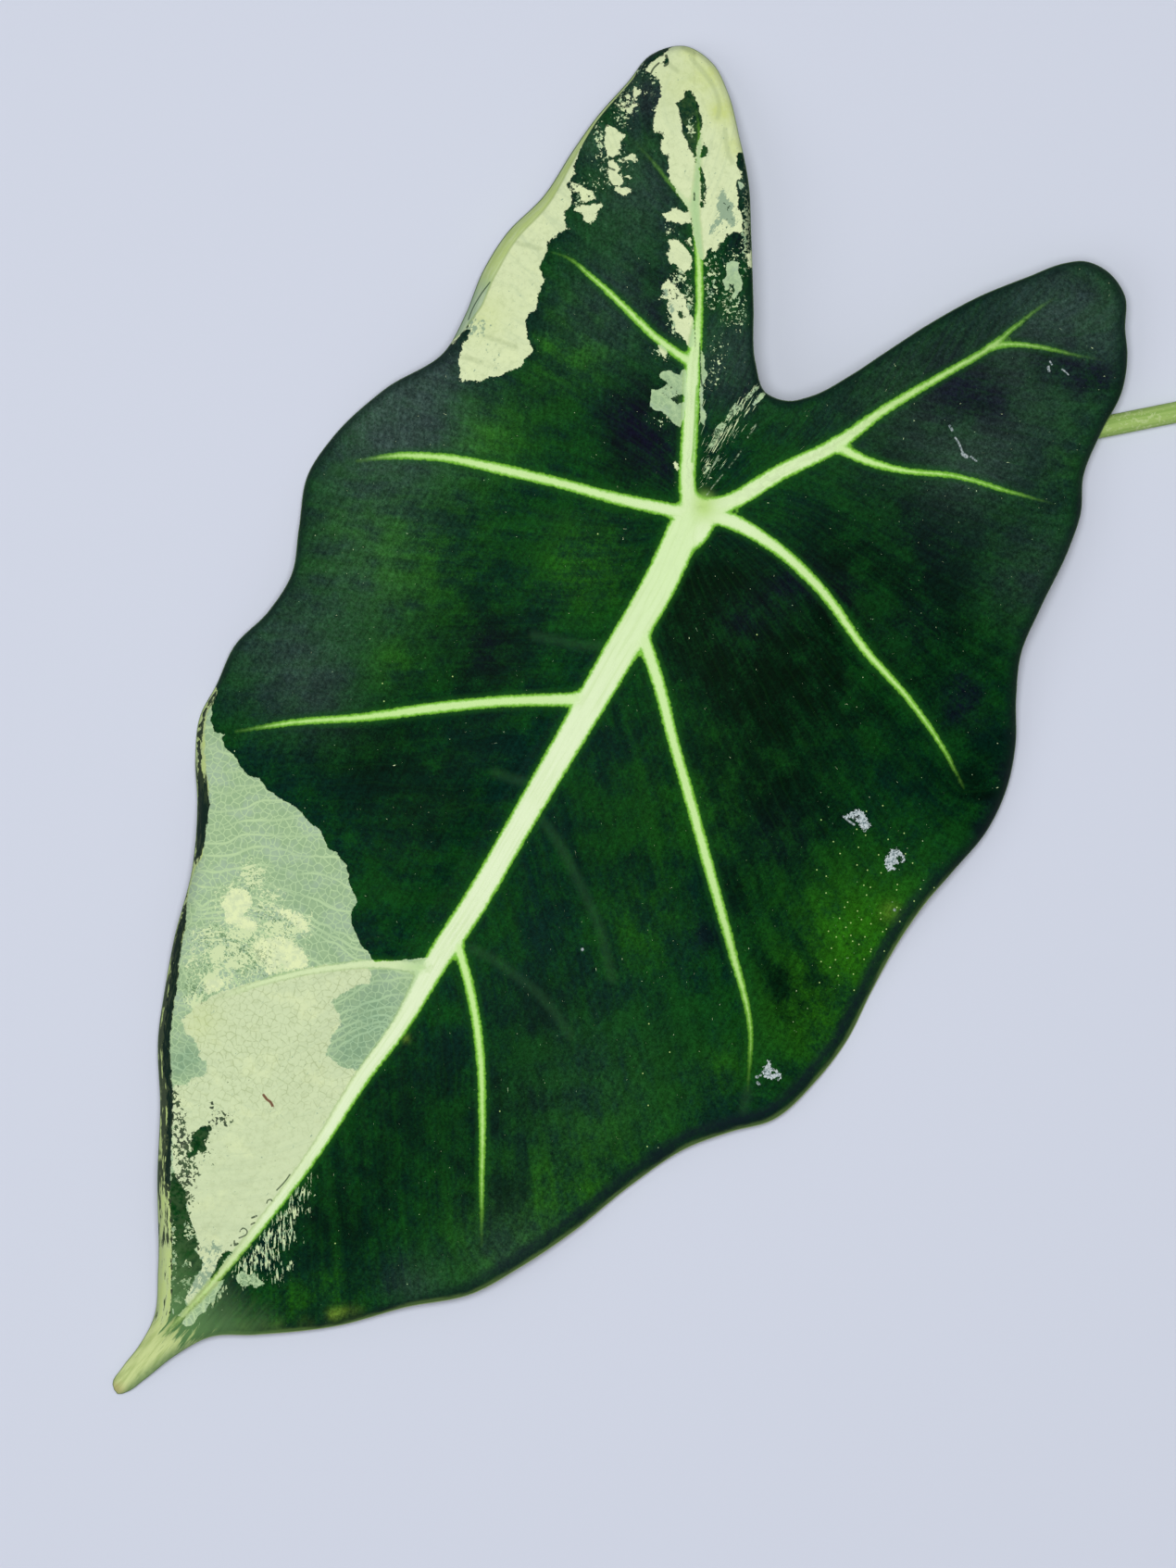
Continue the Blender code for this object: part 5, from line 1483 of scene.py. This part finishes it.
# Geometry Nodes: a round section swept along a curve by its radius, flat where it lies.
def sweepTree():
    sockets = {"Geometry": ("Geometry",), "Sides": ("Int",), "Floor": ("Float",), "Finish": ("Material",)}
    result = {"Geometry": "Geometry"}
    tree, entry, leave, identifiers = newGroup("stalkSweep", "GeometryNodeTree", sockets, result)
    inputs = {"Resolution": entry["Sides"], "Radius": 1.0}
    section = made(tree, "GeometryNodeCurvePrimitiveCircle", inputs, "Curve")
    radius = made(tree, "GeometryNodeInputRadius", output="Radius")
    inputs = {"Curve": entry["Geometry"], "Profile Curve": section, "Scale": radius, "Fill Caps": True}
    form = made(tree, "GeometryNodeCurveToMesh", inputs, "Mesh")
    corners = made(tree, "GeometryNodeInputMeshFaceNeighbors", output="Vertex Count")
    inputs = {"Geometry": form, "Name": "cut", "Value": reckon("GREATER_THAN", corners, 4.5)}
    form = made(tree, "GeometryNodeStoreNamedAttribute", inputs, "Geometry", data_type="FLOAT", domain="FACE")
    parts = addNode(tree, "ShaderNodeSeparateXYZ", {0: made(tree, "GeometryNodeInputPosition")}).outputs
    lifted = reckon("MAXIMUM", wire(parts["Z"]), entry["Floor"])
    flat = made(tree, "ShaderNodeCombineXYZ", {"X": wire(parts["X"]), "Y": wire(parts["Y"]), "Z": lifted})
    for kind, inputs in (("SetPosition", {"Position": flat}), ("SetShadeSmooth", {}),
                         ("RealizeInstances", {}), ("SetMaterial", {"Material": entry["Finish"]})):
        form = made(tree, "GeometryNode" + kind, {"Geometry": form, **inputs}, "Geometry")
    form.into(leave["Geometry"])
    return tree, identifiers


def stalkMaterial():
    look = stalkPaint
    material, tree, shader = newMaterial("stalkSkin", stalk["finish"])
    place = placeIn(tree)
    angle = -math.radians(stalk["heading"]) - drawing["turn"]
    lengthwise = made(tree, "ShaderNodeMapping", {"Vector": place, "Rotation": (0, 0, angle)})
    streaks = noise(lengthwise, *stalk["streaks"])
    skin = blend(eased(streaks, *stalk["lit"]), look["shade"], look["lit"])
    skin = blend(stalk["skinShare"], skin, look["skin"])
    density = eased(noise(place, stalk["spread"]), *stalk["speckDensity"])
    inputs = {"Density": density, "Vector": place, "Scale": stalk["speckScale"]}
    specks = made(tree, "ShaderNodeGroup", inputs, "Mask", node_tree=speckle)
    skin = blend(specks * stalk["speckShare"], skin, look["speck"])
    pores = made(tree, "ShaderNodeTexVoronoi", {"Vector": place, "Scale": stalk["poreScale"]}, "Distance")
    pulp = blend(eased(pores, *stalk["pores"]), look["pore"], look["cut"])
    isCut = made(tree, "ShaderNodeAttribute", output="Fac", attribute_name="cut")
    blend(isCut, skin, pulp).into(shader["Base Color"])
    addBump(shader, streaks, stalk["bump"])
    return material


def makeStalk():
    path, radii = stalkPath()
    curve = bpy.data.curves.new("stalkPath", "CURVE")
    curve.dimensions = "3D"
    spline = curve.splines.new("POLY")
    spline.points.add(len(path) - 1)
    for point, place, radius in zip(spline.points, placed(path), radii):
        point.co = (*place, 1)
        point.radius = radius * mm
    source = addObject("stalkSource", curve)
    tree, identifiers = sweepTree()
    sweep = source.modifiers.new("sweep", "NODES")
    sweep.node_group = tree
    sweep[identifiers["Sides"]] = stalk["sides"]
    sweep[identifiers["Floor"]] = 0.0
    sweep[identifiers["Finish"]] = stalkMaterial()
    mesh = bpy.data.meshes.new_from_object(source.evaluated_get(bpy.context.evaluated_depsgraph_get()))
    bpy.data.objects.remove(source, do_unlink=True)
    mesh.set_sharp_from_angle(angle=math.radians(stalk["sharpAngle"]))
    piece = addObject("stalk", mesh)
    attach(piece, body)
    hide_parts("petiole")
    print("stalk made:", len(mesh.polygons), "faces")


# Studio

studio = {
    "lens": 200.0, "sensor": 36.0, "height": 9.0, "floorSize": 12.0, "floorDrop": 0.2,
    "floor": {"Base Color": paints({"floor": (208, 213, 227)})["floor"], "Roughness": 0.9,
              "Specular IOR Level": 0.1},
    "sky": {"Color": (0.95, 0.97, 1.0, 1), "Strength": 0.2},
    "lamps": {                       # place in m, size in m, power in W
        "overhead": ((-0.1, 0.05, 1.7), 0.8, 22.0),
        "window": ((-0.62, -0.72, 1.05), 1.1, 2.5),
    },
}


# Straight down, turned so that the leaf lies as in the photo.
def makeCamera():
    width, height = drawing["photoSize"]
    middle = fromPhoto([(width / 2, height / 2)])
    x, y, _ = placed(np.column_stack([middle, [0]]))[0]
    lens = bpy.data.cameras.new("camera")
    lens.lens, lens.sensor_width, lens.sensor_fit = studio["lens"], studio["sensor"], "AUTO"
    lens.dof.use_dof = False
    distance = height * drawing["photoScale"] * mm * studio["lens"] / studio["sensor"]
    camera = addObject("camera", lens)
    camera.location = (x, y, distance + studio["height"] * mm)
    camera.rotation_euler = (0, 0, drawing["turn"])
    bpy.context.scene.camera = camera


def makeStudio():
    size = studio["floorSize"] / 2
    mesh = bpy.data.meshes.new("floor")
    corners = [(-size, -size, 0), (size, -size, 0), (size, size, 0), (-size, size, 0)]
    mesh.from_pydata(corners, [], [(0, 1, 2, 3)])
    mesh.materials.append(newMaterial("floorPaint", studio["floor"])[0])
    floor = addObject("floor", mesh)
    floor.location.z = -studio["floorDrop"] * mm
    world = bpy.data.worlds.new("studio")
    world.use_nodes = True
    for name, value in studio["sky"].items():
        world.node_tree.nodes["Background"].inputs[name].default_value = value
    bpy.context.scene.world = world
    for name, (place, size, power) in studio["lamps"].items():
        light = bpy.data.lights.new(name, "AREA")
        light.shape, light.size, light.energy = "DISK", size, power
        lamp = addObject(name, light)
        lamp.location = place
        lamp.rotation_euler = (-Vector(place)).to_track_quat("-Z", "Y").to_euler()
    bpy.context.scene.view_settings.view_transform = "Standard"


makeCamera()
makeStudio()
makeBlade()
makeStalk()
